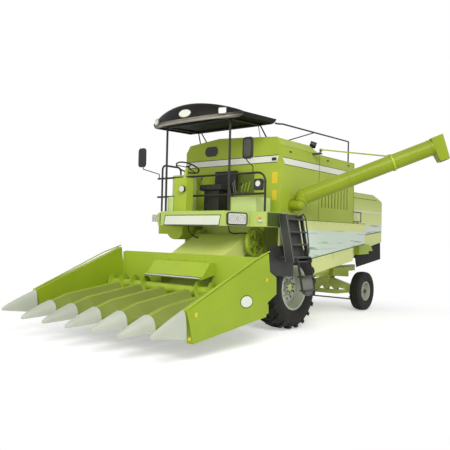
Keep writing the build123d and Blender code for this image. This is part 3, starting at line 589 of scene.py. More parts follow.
def buildNose():
    form = nose
    bm = bmesh.new()
    addFrontPlate(bm, form["front"], form["panel"], 0.004)
    finishPiece(bm, "namePanel", "white", bevel=0.0015)
    bm = bmesh.new()
    inner, edge = form["panel"], form["edge"]
    outer = [(x + a * edge, z + b * edge)
             for (x, z), (a, b) in zip(inner, ((-1, -1), (1, -1), (1, 1), (-1, 1)))]
    for k in range(4):
        following = (k + 1) % 4
        addFrontPlate(bm, form["front"], (outer[k], outer[following], inner[following], inner[k]), 0.006)
    wide, tall = form["lampSize"]
    for side in bothSides:
        spot, out, right = lampPlace(side)
        addPanel(bm, spot, right, upward, wide + 0.040, tall + 0.036, 0.036, corner=0.045, band=0.0195)
    finishPiece(bm, "lampBezels", "black", bevel=0.002)
    bm = bmesh.new()
    for side in bothSides:
        spot, out, right = lampPlace(side)
        for shift in form["reflectors"]:
            middle = spot + out * 0.031 + right * shift
            addTorus(bm, middle, out, form["reflector"], 0.004, turns=28, sides=6)
            addTorus(bm, middle, out, form["reflector"] * 0.45, 0.003, turns=20, sides=6)
        for shift in form["lampBars"]:
            addPanel(bm, spot + out * 0.030 + right * shift, right, upward, 0.006, tall - 0.02, 0.003)
    for radius, thick, turns in form["rightRings"]:
        addTorus(bm, form["rightLamp"], (0, -1, 0), radius, thick, turns=turns, sides=6)
    finishPiece(bm, "lampRings", "grey")
    bm = bmesh.new()
    addFrontPanel(bm, form["indicator"], *form["indicatorSize"], corner=0.010)
    x, y, z = form["tailLamp"]
    for side in bothSides:
        addPanel(bm, (side * x, y, z), (-1, 0, 0), upward, *form["tailLampSize"], corner=0.015)
    finishPiece(bm, "indicatorLenses", "orange", bevel=0.002)
    bm = bmesh.new()
    x, y, z = form["ribbed"]
    addPanel(bm, (x, y, z), rearward, upward, *form["ribbedSize"], corner=0.012)
    for k in range(form["ribs"]):
        y = form["firstRib"] + k * form["ribStep"]
        addPanel(bm, (x + 0.004, y, z), rearward, upward, *form["ribSize"])
    finishPiece(bm, "ribbedPanel", "darkGreen", bevel=0.001)


buildNose()


# Tank front: window lip, latch and slanted bars in the recess
tankFace = {
    "window": (-0.479, 3.300), "windowSize": (0.328, 0.196), "windowCorner": 0.088,
    "lip": 0.018, "lipCorner": 0.105,
    "recess": (0.28, 2.655), "recessSize": (0.58, 0.39), "recessEdge": 0.020,
    "bars": (0.258, 0.333, 0.408), "barFoot": 2.49, "barHead": 2.64, "barWide": 0.022, "barLean": 0.050,
    "latches": (-0.10, 1.30, 2.20), "latch": (0.07, 3.200, 3.225),
}


def buildTankFittings():
    form, front = tankFace, films["tankFront"]
    windowX, windowZ = form["window"]
    recessX, recessZ = form["recess"]
    wide, tall = form["windowSize"]
    recessWide, recessTall = form["recessSize"]
    lip, edge = form["lip"], form["recessEdge"]
    bm = bmesh.new()
    addFrontPanel(bm, (windowX, front, windowZ), wide, tall, 0.004, corner=form["windowCorner"])
    finishPiece(bm, "tankWindow", "pane")
    # The recess is a flat dark plate: painted shade
    bm = bmesh.new()
    addFrontPanel(bm, (recessX, front, recessZ), recessWide, recessTall, 0.002, corner=0.02)
    finishPiece(bm, "tankRecessShade", "seam")
    bm = bmesh.new()
    addFrontPanel(bm, (windowX, front, windowZ), wide + 2 * lip, tall + 2 * lip, 0.009,
                  corner=form["lipCorner"], band=lip)
    addFrontPanel(bm, (recessX, front, recessZ), recessWide + 2 * edge, recessTall + 2 * edge, 0.008,
                  corner=0.02, band=edge)
    low, lean, barWide = form["barFoot"], form["barLean"], form["barWide"]
    for k, foot in enumerate(form["bars"]):
        high = form["barHead"] + 0.02 * k
        addFrontPlate(bm, front, ((foot, low), (foot + barWide, low), (foot + barWide + lean, high),
                                  (foot + lean, high)), 0.012)
    finishPiece(bm, "tankTrim", "lime", bevel=0.0015)
    bm = bmesh.new()
    addBox(bm, (0.955, front - 0.016, 3.035), (1.045, front, 3.085))
    addBox(bm, (0.985, front - 0.030, 3.048), (1.015, front - 0.012, 3.072))
    long, low, high = form["latch"]
    for y in form["latches"]:
        for side in bothSides:
            addBox(bm, (side * 1.150, y, low), (side * 1.162, y + long, high))
    finishPiece(bm, "latches", "black", bevel=0.002)


buildTankFittings()


# Seams, bolt rows and edge beads of the sheet work, and the guards behind the engine bay
sheetWork = {
    "flankSeams": (((0.990, 2.0), (1.002, 2.0), (1.002, 3.27), (0.990, 3.27)),
                   ((2.505, 2.0), (2.517, 2.0), (2.517, 3.27), (2.505, 3.27)),
                   ((-0.34, 1.985), (3.11, 1.985), (3.11, 1.996), (-0.34, 1.996)),
                   ((1.62, 1.365), (1.632, 1.367), (1.632, 1.235), (1.62, 1.230))),
    "hoodSeam": ((3.125, 1.40), (3.137, 1.40), (3.137, 2.60), (3.125, 2.60)),
    "hoodTop": ((3.14, 2.600), (4.42, 2.600), (4.42, 2.612), (3.14, 2.612)),
    "boltRadius": 0.007, "boltRise": 0.005,
    "frontEdge": ((-1.150, 3.300), (-1.050, 3.450), (-0.300, 3.530), (0.300, 3.500), (1.050, 3.450),
                  (1.150, 3.300)),
    "sideEdges": (((-0.35, 3.300), (0.95, 3.300)), ((1.02, 3.286), (2.50, 3.286)),
                  ((2.516, 2.02), (2.516, 3.284))),
    "bead": 0.010, "beadY": -0.352, "beadX": 1.146,
    "guard": (0.996, 2.990, 2.145), "guardSize": (0.44, 0.235), "guardPosts": (2.89, 3.07),
    "guardInset": 0.015, "guardShelf": (2.505, 3.200, 2.03, 2.05),
}


def boltSpots():
    flank, hood = films["flank"], films["hoodFlank"]
    spots = []
    for k in range(13):
        spots += [(flank, -0.25 + k * 0.27, 1.955), (flank, 0.98 + k * 0.115, 1.205 + k * 0.0175)]
    for k in range(8):
        spots += [(hood, 3.22 + k * 0.2, 2.57), (hood, 3.36 + k * 0.19, 1.395 + k * 0.031)]
    for k in range(7):
        spots += [(flank, y, 2.06 + k * 0.19) for y in (1.04, 2.47, 0.955)]
    return spots


def buildSheetDetails():
    form, flank, hood = sheetWork, films["flank"], films["hoodFlank"]
    bm = bmesh.new()
    addSidePlates(bm, flank, form["flankSeams"], 0.003)
    addSidePlates(bm, hood, [form["hoodSeam"]], 0.003)
    addSidePlates(bm, hood, [form["hoodTop"]], 0.004)
    finishPiece(bm, "panelSeams", "seam")
    bm = bmesh.new()
    radius, rise, front = form["boltRadius"], form["boltRise"], films["tankFront"]
    for x, y, z in boltSpots():
        for side in bothSides:
            addRod(bm, (side * x, y, z), (side * (x + rise), y, z), radius, sides=6)
    for k in range(9):
        x = -1.06 + k * 0.265
        addRod(bm, (x, front, 3.195), (x, front - 0.006, 3.195), radius, sides=6)
    finishPiece(bm, "panelBolts", "lime")
    bm = bmesh.new()
    for (x0, z0), (x1, z1) in zip(form["frontEdge"], form["frontEdge"][1:]):
        addRod(bm, (x0, form["beadY"], z0), (x1, form["beadY"], z1), form["bead"], sides=8)
    for side in bothSides:
        for start, end in form["sideEdges"]:
            addRod(bm, (side * form["beadX"], *start), (side * form["beadX"], *end), form["bead"], sides=8)
    finishPiece(bm, "edgeBeads", "lime", smooth=True)
    guardX, guardY, guardZ = form["guard"]
    bm = bmesh.new()
    addFlankPanels(bm, guardX, guardY, guardZ, *form["guardSize"], 0.014, corner=0.012, band=0.020)
    finishPiece(bm, "guardFrames", "black", bevel=0.002)
    bm = bmesh.new()
    x = guardX - form["guardInset"]
    yLow, yHigh, zLow, zHigh = form["guardShelf"]
    for side in bothSides:
        for y in form["guardPosts"]:
            addRod(bm, (side * x, y, 1.992), (side * x, y, 2.262), 0.017, sides=12)
        addBox(bm, (side * (x - 0.010), yLow, zLow), (side * (x + 0.010), yHigh, zHigh))
    finishPiece(bm, "guardBars", "white", smooth=True)


buildSheetDetails()


# Canopy: a crowned roof over a curved front, with a rolled lip and a shallow hollow under it
canopySet = {
    "half": 1.050, "tail": 1.040,                # half widths at the front corners and at the rear
    "front": -1.650, "corner": -1.400, "rear": -0.380,
    "sideTop": 3.747, "crown": 3.936, "fall": 0.0315,
    "lip": 3.585, "lipCorner": 3.630, "lipRear": 3.668,
    "rim": 0.105, "hollow": 0.030,
    "rolls": ((0.070, 0.004), (0.036, 0.022), (0.012, 0.058), (0.0, 0.096)),       # inset and lift of the lip
    "shoulders": ((0.0, 0.060), (0.012, 0.024), (0.035, 0.006), (0.070, 0.0)),     # and drop of the top
    "badge": (-0.010, 3.765), "lamps": ((-0.840, 3.722), (0.740, 3.742)),
    "post": (0.744, -1.330), "rearBar": -0.470, "tube": 0.018, "deck": 2.085, "tankTop": 3.470,
    "stays": ((-0.740, -0.830, -0.300, 0.012), (-0.670, -0.680, -0.250, 0.012),    # top x, foot x, y, radius
              (0.708, 0.641, -0.300, 0.007), (0.750, 0.768, -0.280, 0.013)),
    "rail": ((1.020, -0.380, 3.698), (1.020, -0.320, 3.698), (1.020, -0.144, 3.723), (1.020, 2.480, 3.776),
             (1.020, 2.480, 3.290)),
    "brace": ((1.020, 1.002, 3.744), (0.950, 0.050, 3.440)),
}


def frontRadius(half, rise):
    return (half * half + rise * rise) / (2 * rise)


def canopyOutline(inset):
    form = canopySet
    half, tail = form["half"] - inset, form["tail"] - inset
    front, rear, corner = form["front"] + inset, form["rear"] - inset, form["corner"]
    radius = frontRadius(half, corner - front)
    points = []
    for k in range(25):
        x = -half + 2 * half * k / 24
        points.append((x, front + radius - math.sqrt(radius * radius - x * x)))
    for k in range(1, 7):
        points.append((half + (tail - half) * k / 6, corner + (rear - corner) * k / 6))
    for k in range(1, 13):
        points.append((tail - 2 * tail * k / 12, rear))
    for k in range(1, 6):
        points.append((-tail + (tail - half) * k / 6, rear + (corner - rear) * k / 6))
    return points


def canopyLow(y):
    form = canopySet
    if y < form["corner"]:
        share = (y - form["front"]) / (form["corner"] - form["front"])
        return form["lip"] + (form["lipCorner"] - form["lip"]) * share
    share = (y - form["corner"]) / (form["rear"] - form["corner"])
    return form["lipCorner"] + (form["lipRear"] - form["lipCorner"]) * share


def canopyTop(x, y):
    form = canopySet
    rise = (form["crown"] - form["sideTop"]) * (1 - (x / form["half"]) ** 2)
    return form["sideTop"] + rise - form["fall"] * (y - form["front"])


def buildCanopy():
    form = canopySet
    rings = []
    for inset, lift in ((form["rim"], form["hollow"]), (form["rim"], 0.0)) + form["rolls"]:
        rings.append([(x, y, canopyLow(y) + lift) for x, y in canopyOutline(inset)])
    for inset, drop in form["shoulders"]:
        rings.append([(x, y, max(canopyTop(x, y) - drop, canopyLow(y) + 0.1))
                      for x, y in canopyOutline(inset)])
    middle = Vector((0.0, -0.95))
    edge = [Vector(point) for point in canopyOutline(0.070)]
    for share in (0.75, 0.5, 0.25, 0.08):
        spots = [middle + (point - middle) * share for point in edge]
        rings.append([(spot.x, spot.y, canopyTop(spot.x, spot.y)) for spot in spots])
    bm = bmesh.new()
    addRings(bm, rings)
    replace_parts(finishPiece(bm, "canopyRoof", "canopy", smooth=True), "canopy")


def buildCanopyFrame():
    form = canopySet
    postX, postY = form["post"]
    rearY, tube = form["rearBar"], form["tube"]

    def barHeight(y):
        return canopyLow(y) + form["hollow"] - tube

    bm = bmesh.new()
    for y in (postY, rearY):
        addRod(bm, (-postX, y, barHeight(y)), (postX, y, barHeight(y)), tube)
    for side in bothSides:
        addRod(bm, (side * postX, postY, barHeight(postY)), (side * postX, rearY, barHeight(rearY)), tube)
        addRod(bm, (side * postX, postY, form["deck"]), (side * postX, postY, barHeight(postY)), 0.020)
    for topX, footX, footY, thick in form["stays"]:
        addRod(bm, (topX, rearY, barHeight(rearY)), (footX, footY, form["tankTop"]), thick, sides=12)
    addPipe(bm, form["rail"], 0.016, 0.045)
    addRod(bm, *form["brace"], 0.011, sides=12)
    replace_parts(finishPiece(bm, "canopyFrame", "black", smooth=True), "canopy_posts")


def fasciaSpot(x, z):
    form = canopySet
    radius = frontRadius(form["half"], form["corner"] - form["front"])
    turn = math.asin(x / radius)
    y = form["front"] + radius - math.sqrt(radius * radius - x * x)
    return Vector((x, y, z)), Vector((math.cos(turn), math.sin(turn), 0.0))


def buildCanopyFittings():
    spot, right = fasciaSpot(*canopySet["badge"])
    badge = spot + Vector((0, 0.006, 0))
    bm = bmesh.new()
    addPanel(bm, badge, right, upward, 0.27, 0.125, 0.016, oval=True)
    finishPiece(bm, "ovalBadge", "white", bevel=0.002)
    bm = bmesh.new()
    addPanel(bm, badge, right, upward, 0.292, 0.147, 0.014, band=0.010, oval=True)
    for lamp in canopySet["lamps"]:
        spot, right = fasciaSpot(*lamp)
        addPanel(bm, spot, right, upward, 0.150, 0.116, 0.026, corner=0.022)
    finishPiece(bm, "fasciaFrames", "grey", bevel=0.003)
    bm = bmesh.new()
    for lamp in canopySet["lamps"]:
        spot, right = fasciaSpot(*lamp)
        out = right.cross(Vector(upward))
        addPanel(bm, spot + out * 0.024, right, upward, 0.124, 0.090, 0.006, corner=0.018)
    finishPiece(bm, "fasciaLenses", "lens", bevel=0.002)


buildCanopy()
buildCanopyFrame()
buildCanopyFittings()
print("canopy made")


# Work lamps: one on the steering column, a box lamp on the rail's end and one on the tank's corner
workLamps = {"column": (-0.330, 2.490), "columnFront": -1.352, "rail": (1.105, -0.945, 2.545),
             "tank": ((0.960, 0.945, 3.520), (1.060, 1.010, 3.480)), "tankStand": (1.000, 0.975)}


def buildWorkLamps():
    form = workLamps
    columnX, columnZ = form["column"]
    front = form["columnFront"]
    railX, railY, railZ = form["rail"]
    bm = bmesh.new()
    addRod(bm, (columnX, front + 0.052, columnZ), (columnX, front, columnZ), 0.050, sides=28, tip=0.066)
    addFrontPanel(bm, form["rail"], 0.175, 0.195, 0.055, corner=0.030)
    addBox(bm, (1.180, -0.985, 2.570), (1.226, -0.965, 2.590))
    addRod(bm, *form["tank"], 0.062, sides=28)
    addRod(bm, (*form["tankStand"], 3.500), (*form["tankStand"], 3.380), 0.011)
    finishPiece(bm, "workLampHousings", "black", bevel=0.003)
    bm = bmesh.new()
    addRod(bm, (columnX, front + 0.002, columnZ), (columnX, front - 0.005, columnZ), 0.058, sides=28)
    addRod(bm, (railX, railY - 0.054, railZ + 0.015), (railX, railY - 0.058, railZ + 0.015), 0.050, sides=28)
    finishPiece(bm, "workLampLenses", "lens", bevel=0.002)


buildWorkLamps()


# Levers, pedals and gauges at the operator's place
controls = {
    "levers": ((0.30, -0.16, 2.72), (0.36, -0.10, 2.66), (0.42, -0.14, 2.70), (0.52, -0.05, 2.60)),
    "leverY": -0.62, "floor": 2.085,
    "pedals": (-0.62, -0.33), "pedal": (0.085, 0.12, 0.014), "knob": 0.024,
    "stalk": ((-0.40, -0.80, 2.60), (-0.28, -0.86, 2.72)),
    "gauges": ((-0.47, 2.64, 0.0300), (-0.37, 2.64, 0.0300), (-0.42, 2.55, 0.0192)), "gaugeY": -1.118,
}


def buildControls():
    form, y, floor = controls, controls["leverY"], controls["floor"]
    bm = bmesh.new()
    for x, lean, top in form["levers"]:
        addRod(bm, (x, y, floor), (x - 0.02, y + lean, top), 0.008, sides=10)
    for x in form["pedals"]:
        addRod(bm, (x, -1.05, floor), (x, -1.12, 2.21), 0.009, sides=10)
    addRod(bm, *form["stalk"], 0.007, sides=10)
    finishPiece(bm, "leverRods", "grey")
    bm = bmesh.new()
    for x, lean, top in form["levers"]:
        addBall(bm, (x - 0.02, y + lean, top), form["knob"], 16, 10)
    addBall(bm, form["stalk"][1], 0.020, 14, 8)
    finishPiece(bm, "leverKnobs", "black", smooth=True)
    bm = bmesh.new()
    for x in form["pedals"]:
        addPanel(bm, (x, -1.125, 2.225), leftward, (0, 0.5, 0.86), *form["pedal"], corner=0.012)
    finishPiece(bm, "pedals", "black", bevel=0.003)
    bm = bmesh.new()
    for x, z, size in form["gauges"]:
        addTorus(bm, (x, form["gaugeY"], z), rearward, size, 0.005, turns=24, sides=6)
    finishPiece(bm, "gaugeRims", "bright", smooth=True)


buildControls()


# Seat: a padded cushion and back in synthetic leather
seat = {
    "cushion": ((-0.297, -0.947, 2.483), (0.247, -0.503, 2.597)), "cushionInset": 0.008,
    "back": ((-0.297, -0.496, 2.503), (0.247, -0.413, 2.897)), "backInset": 0.006,
    "round": 0.018,
    "voxel": 0.006,
    "pressure": 4.0, "settle": 20,
    "swell": 0.009,
}


def stuffPad(piece):
    # Air pressure under cloth fills the pad, and no point moves further than the swell
    before = [vert.co.copy() for vert in piece.data.vertices]
    cloth = piece.modifiers.new("stuffing", "CLOTH")
    cloth.settings.use_pressure = True
    cloth.settings.uniform_pressure_force = seat["pressure"]
    cloth.settings.effector_weights.gravity = 0.0
    cloth.point_cache.frame_end = seat["settle"]
    for step in range(1, seat["settle"] + 1):
        bpy.context.scene.frame_set(step)
    bpy.ops.object.modifier_apply(modifier="stuffing")
    bpy.context.scene.frame_set(1)
    for vert, old in zip(piece.data.vertices, before):
        move = vert.co - old
        if move.length > seat["swell"]:
            vert.co = old + move.normalized() * seat["swell"]


def padFrom(name, low, high, inset, replacedNode):
    bm = bmesh.new()
    addBox(bm, Vector(low) + Vector((inset,) * 3), Vector(high) - Vector((inset,) * 3))
    bmesh.ops.bevel(bm, geom=bm.edges[:] + bm.verts[:], offset=seat["round"], segments=3, affect="EDGES",
                    profile=0.5, material=-1)
    bmesh.ops.transform(bm, matrix=Matrix.Translation(rowShift), verts=bm.verts)
    piece = newObject(name, bm)
    bpy.context.view_layer.objects.active = piece
    remesh = piece.modifiers.new("evenMesh", "REMESH")
    remesh.mode = "VOXEL"
    remesh.voxel_size = seat["voxel"]
    bpy.ops.object.modifier_apply(modifier="evenMesh")
    stuffPad(piece)
    finer = piece.modifiers.new("finer", "SUBSURF")
    finer.levels = finer.render_levels = 1
    for polygon in piece.data.polygons:
        polygon.use_smooth = True
    piece.data.materials.clear()
    piece.data.materials.append(paint["seat"])
    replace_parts(piece, replacedNode)
    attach(piece, "chassis")
    pieceCount.append(name)


padFrom("seatCushionPad", *seat["cushion"], seat["cushionInset"], "seat_cushion")
padFrom("seatBackPad", *seat["back"], seat["backInset"], "seat_back")
print("seat stuffed")


# Wheels: bolt rings, black discs of painted shade at the holes and rim beads on the drive wheels, caps on the
# steered wheels
wheels = {
    "front": {"y": 0.0, "z": 0.750, "disc": 1.110, "hub": 1.144, "face": 1.2475},
    "rear": {"y": 3.500, "z": 0.445, "disc": 0.950, "hub": 0.984, "face": 1.018, "bead": 0.216},
    "frontBolts": (("hub", 0.090, 8, 0.0, 0.018, 0.014), ("disc", 0.150, 8, 0.3, 0.014, 0.011)),
    "frontHoles": (0.208, 10, 0.2, 0.024),
    "frontBeads": (("face", 0.0, 0.402, 0.007, 64), ("face", -0.02, 0.378, 0.006, 64),
                   ("hub", 0.0, 0.112, 0.006, 40)),
    "rearBolts": (0.098, 5, 0.016, 0.010),
}


def ringSpots(wheel, radius, count, start=0.0):
    turns = [start + k * math.tau / count for k in range(count)]
    return [(wheel["y"] + radius * math.cos(turn), wheel["z"] + radius * math.sin(turn)) for turn in turns]


def buildWheelFittings(side, label):
    front, rear = wheels["front"], wheels["rear"]
    frontBody, rearBody = "front_wheel_" + label.lower(), "rear_wheel_" + label.lower()
    bm = bmesh.new()
    for plane, ring, count, start, rise, radius in wheels["frontBolts"]:
        for y, z in ringSpots(front, ring, count, start):
            addRod(bm, (side * front[plane], y, z), (side * (front[plane] + rise), y, z), radius, sides=6)
    finishPiece(bm, "driveWheelBolts" + label, "iron", body=frontBody)
    # Black discs at the disc's holes: painted shade seen through them
    bm = bmesh.new()
    ring, count, start, radius = wheels["frontHoles"]
    for y, z in ringSpots(front, ring, count, start):
        low, high = side * (front["disc"] - 0.002), side * (front["disc"] + 0.0015)
        addRod(bm, (low, y, z), (high, y, z), radius, sides=20)
    finishPiece(bm, "driveWheelHoleShade" + label, "black", body=frontBody)
    bm = bmesh.new()
    for plane, shift, radius, thick, turns in wheels["frontBeads"]:
        middle = (side * (front[plane] + shift), front["y"], front["z"])
        addTorus(bm, middle, leftward, radius, thick, turns=turns)
    finishPiece(bm, "driveRimBeads" + label, "silver", body=frontBody, smooth=True)
    bm = bmesh.new()
    ring, count, rise, radius = wheels["rearBolts"]
    for y, z in ringSpots(rear, ring, count):
        addRod(bm, (side * rear["disc"], y, z), (side * (rear["disc"] + rise), y, z), radius, sides=6)
    low, high = side * rear["hub"], side * (rear["hub"] + 0.030)
    addRod(bm, (low, rear["y"], rear["z"]), (high, rear["y"], rear["z"]), 0.052, sides=28, tip=0.044)
    finishPiece(bm, "steerWheelCap" + label, "black", body=rearBody, bevel=0.002)
    bm = bmesh.new()
    addTorus(bm, (side * rear["face"], rear["y"], rear["z"]), leftward, rear["bead"], 0.005, turns=48)
    finishPiece(bm, "steerRimBead" + label, "silver", body=rearBody, smooth=True)


for side, label in sideLabels:
    buildWheelFittings(side, label)
print("wheel fittings made")


# Header: blank ovals, ridges and bolts on the hoods, rotor housings, bright bar and folds of the end panels
header = {
    "rows": 6, "pitch": 0.558, "wall": -1.540, "wallBolts": 1.285,
    "oval": (-2.130, 0.713), "ovalSize": (0.275, 0.165), "ovalRim": (0.300, 0.190),
    "ridge": ((-3.478, 0.568, 1.0), (-3.180, 0.659, 1.05), (-2.120, 0.799, 1.5)), "ridgeHalf": 0.028,
    "hoodBolts": ((-3.40, 0.593), (-3.10, 0.670), (-2.62, 0.734), (-2.22, 0.786)),
    "panelBolts": ((-3.18, 0.33), (-2.75, 0.375), (-2.3, 0.42), (-1.85, 0.47), (-1.66, 0.76), (-1.66, 0.90),
                   (-3.30, 0.62), (-2.95, 0.79), (-2.45, 1.02), (-2.0, 1.22)),
    "rotorY": -2.170, "deck": 0.518, "drum": 0.575, "cone": 0.640,
    "bearing": (0.105, -2.180, 0.560), "boltRadius": 0.009,
    "bar": (-1.892, 0.959), "barHalf": 0.640,
    "hinges": (-0.40, 0.0, 0.40),
    "hingeBoxes": ((0.022, -1.556, -1.540, 1.200, 1.246), (0.012, -1.640, -1.552, 1.209, 1.219)),
    "beam": (1.640, -1.495, 1.323), "creaseX": 1.7585, "rimX": 1.735,
    "creases": (((-3.311, 0.528), (-1.565, 1.087)), ((-3.306, 0.373), (-2.689, 0.523)),
                ((-2.689, 0.523), (-1.600, 0.661))),
    "rims": (((-3.40, 0.697), (-1.936, 1.310)), ((-1.936, 1.310), (-1.53, 1.436))),
}


def rowPlaces(count):
    return [(k - (count - 1) / 2) * header["pitch"] for k in range(count)]


def buildHeaderFittings():
    form, skin = header, films["endPanel"]
    hoods, slots = rowPlaces(form["rows"] - 1), rowPlaces(form["rows"])
    lean = (0, -0.12, 1)
    bm = bmesh.new()
    addFlankPanels(bm, skin, *form["oval"], *form["ovalSize"], 0.003, up=lean, oval=True)
    finishPiece(bm, "panelOvals", "white", body="header")
    bm = bmesh.new()
    addFlankPanels(bm, skin, *form["oval"], *form["ovalRim"], 0.004, up=lean, band=0.010, oval=True)
    finishPiece(bm, "panelOvalRims", "darkGreen", body="header")
    bm = bmesh.new()
    for x in hoods:
        for half in (form["ridgeHalf"], -form["ridgeHalf"]):
            line = [(x + half * spread, y, z) for y, z, spread in form["ridge"]]
            for start, end in zip(line, line[1:]):
                addRod(bm, start, end, 0.006, sides=8)
    finishPiece(bm, "hoodRidges", "header", body="header", smooth=True)
    bm = bmesh.new()
    for x in hoods:
        for y, z in form["hoodBolts"]:
            addRod(bm, (x, y, z - 0.004), (x, y, z + 0.004), form["boltRadius"], sides=6)
    for k in range(7):
        x, z = -1.5 + k * 0.5, form["wallBolts"]
        addRod(bm, (x, form["wall"], z), (x, form["wall"] - 0.005, z), form["boltRadius"], sides=6)
    for side in bothSides:
        for y, z in form["panelBolts"]:
            addRod(bm, (side * 1.745, y, z), (side * 1.764, y, z), 0.008, sides=6)
    finishPiece(bm, "headerBolts", "header", body="header")
    bm = bmesh.new()
    y, deck = form["rotorY"], form["deck"]
    out, along, top = form["bearing"]
    for x in slots:
        addRod(bm, (x, y, deck), (x, y, form["drum"]), 0.066, sides=28)
        addRod(bm, (x, y, form["drum"]), (x, y, form["cone"]), 0.060, sides=28, tip=0.030)
        for side in bothSides:
            spot = x + side * out
            addRod(bm, (spot, along, deck), (spot, along, top), 0.040, sides=20)
    finishPiece(bm, "rowHousings", "lime", body="header", bevel=0.003)
    bm = bmesh.new()
    addRod(bm, (-form["barHalf"], *form["bar"]), (form["barHalf"], *form["bar"]), 0.0190, sides=20)
    finishPiece(bm, "hoodBar", "bright", body="header", smooth=True)
    bm = bmesh.new()
    for x in form["hinges"]:
        for half, front, rear, low, high in form["hingeBoxes"]:
            addBox(bm, (x - half, front, low), (x + half, rear, high))
    finishPiece(bm, "hoodHinges", "header", body="header", bevel=0.002)
    bm = bmesh.new()
    for side in bothSides:
        for start, end in form["creases"]:
            addRod(bm, (side * form["creaseX"], *start), (side * form["creaseX"], *end), 0.0045, sides=6)
        for start, end in form["rims"]:
            addRod(bm, (side * form["rimX"], *start), (side * form["rimX"], *end), 0.011, sides=10)
    half, *beam = form["beam"]
    addRod(bm, (-half, *beam), (half, *beam), 0.012, sides=10)
    finishPiece(bm, "headerBeads", "header", body="header", smooth=True)


buildHeaderFittings()


# Divider points: smooth sheet noses that widen and rise from a blunt tip to the hoods
noses = {"steps": (0.0, 0.04, 0.15, 0.35, 0.6, 0.8, 1.0), "sides": 14,
         "inner": {"tip": -3.976, "long": 0.4957, "half": (0.026, 0.139), "base": (0.330, 0.042),
                   "top": (0.378, 0.207, 0.8), "middle": 0.0},
         "outer": {"tip": -3.960, "long": 0.5597, "half": (0.026, 0.054), "base": (0.400, -0.070),
                   "top": (0.445, 0.255, 0.85), "middle": -0.022}, "outerX": 1.705}


def pointRing(middle, y, half, base, top):
    ring = []
    for k in range(noses["sides"] + 1):
        angle = math.pi * k / noses["sides"]
        wide = math.copysign(abs(math.cos(angle)) ** 0.8, math.cos(angle))
        ring.append((middle + half * wide, y, base + (top - base) * math.sin(angle) ** 0.8))
    return ring


def addNose(bm, form, middle, side=1):
    rings = []
    for t in noses["steps"]:
        top, gain, power = form["top"]
        rings.append(pointRing(middle + side * form["middle"] * t, form["tip"] + form["long"] * t,
                               form["half"][0] + form["half"][1] * t ** 0.85,
                               form["base"][0] + form["base"][1] * t, top + gain * t ** power))
    addRings(bm, rings)


def buildPoints():
    bm = bmesh.new()
    for middle in rowPlaces(header["rows"] - 1):
        addNose(bm, noses["inner"], middle)
    for side in bothSides:
        addNose(bm, noses["outer"], side * noses["outerX"], side)
    points = finishPiece(bm, "dividerNoses", "silver", body="header", smooth=True)
    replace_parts(points, "divider_points")


# Cross auger: a tube with a helical flight on each side, wound to bring the crop to the middle
augerForm = {"y": -1.830, "z": 0.740, "half": 1.640, "shaftHalf": 1.710, "shaft": 0.030, "tube": 0.090,
             "flight": 0.184, "pitch": 0.290, "turns": 3.9, "start": 0.480, "thick": 0.006, "steps": 24}


def buildAuger():
    form, y, z = augerForm, augerForm["y"], augerForm["z"]
    root = form["tube"] - 0.004
    section = ((root, -0.5), (form["flight"], -0.5), (form["flight"], 0.5), (root, 0.5))
    bm = bmesh.new()
    addRod(bm, (-form["half"], y, z), (form["half"], y, z), form["tube"], sides=32)
    addRod(bm, (-form["shaftHalf"], y, z), (form["shaftHalf"], y, z), form["shaft"], sides=20)
    for side in bothSides:
        rings = []
        for k in range(int(form["steps"] * form["turns"]) + 1):
            angle = side * math.tau * k / form["steps"]
            x = side * (form["start"] + form["pitch"] * k / form["steps"])
            rings.append([(x + shift * form["thick"], y + radius * math.cos(angle),
                           z + radius * math.sin(angle)) for radius, shift in section])
        addRings(bm, rings)
    flights = finishPiece(bm, "augerFlights", "header", body="cross_auger", smooth=True)
    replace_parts(flights, "header_auger")


# Gathering chains: a loop with five lugs on each side of every slot, above the deck plates
chainForm = {"front": -3.230, "rear": -2.270, "deckFront": -3.270, "deck": 0.250, "lean": 0.11515,
             "rise": 0.130, "tall": 0.014, "lugs": 5,
             "outer": ((0.030, 0.024), (0.042, 0.0), (0.066, 0.0), (0.078, 0.024)),
             "inner": ((0.040, 0.028), (0.048, 0.010), (0.060, 0.010), (0.068, 0.028))}


def chainShapes():
    length = chainForm["rear"] - chainForm["front"]
    outer, inner = [list(chainForm[name]) + [(x, length - y) for x, y in reversed(chainForm[name])]
                    for name in ("outer", "inner")]
    shapes = list(zip(outer, outer[1:] + outer[:1], inner[1:] + inner[:1], inner))
    for k in range(chainForm["lugs"]):
        y = 0.090 + k * (length - 0.180) / (chainForm["lugs"] - 1)
        shapes.append(((0.032, y - 0.022), (0.032, y + 0.022), (0.018, y)))
    return shapes


def buildChains():
    form, shapes = chainForm, chainShapes()
    bm = bmesh.new()
    for slot in rowPlaces(header["rows"]):
        for side in bothSides:
            for shape in shapes:
                floor = []
                for x, y in shape:
                    along = form["front"] + y
                    floor.append((slot + side * x, along,
                                  form["deck"] + (along - form["deckFront"]) * form["lean"] + form["rise"]))
                low = [bm.verts.new(point) for point in floor]
                high = [bm.verts.new((x, y, z + form["tall"])) for x, y, z in floor]
                bm.faces.new(low)
                bm.faces.new(reversed(high))
                for a in range(len(shape)):
                    b = (a + 1) % len(shape)
                    bm.faces.new((low[a], low[b], high[b], high[a]))
    finishPiece(bm, "gatheringChains", "iron", body="header")


buildPoints()
buildAuger()
buildChains()
print("header dressed")


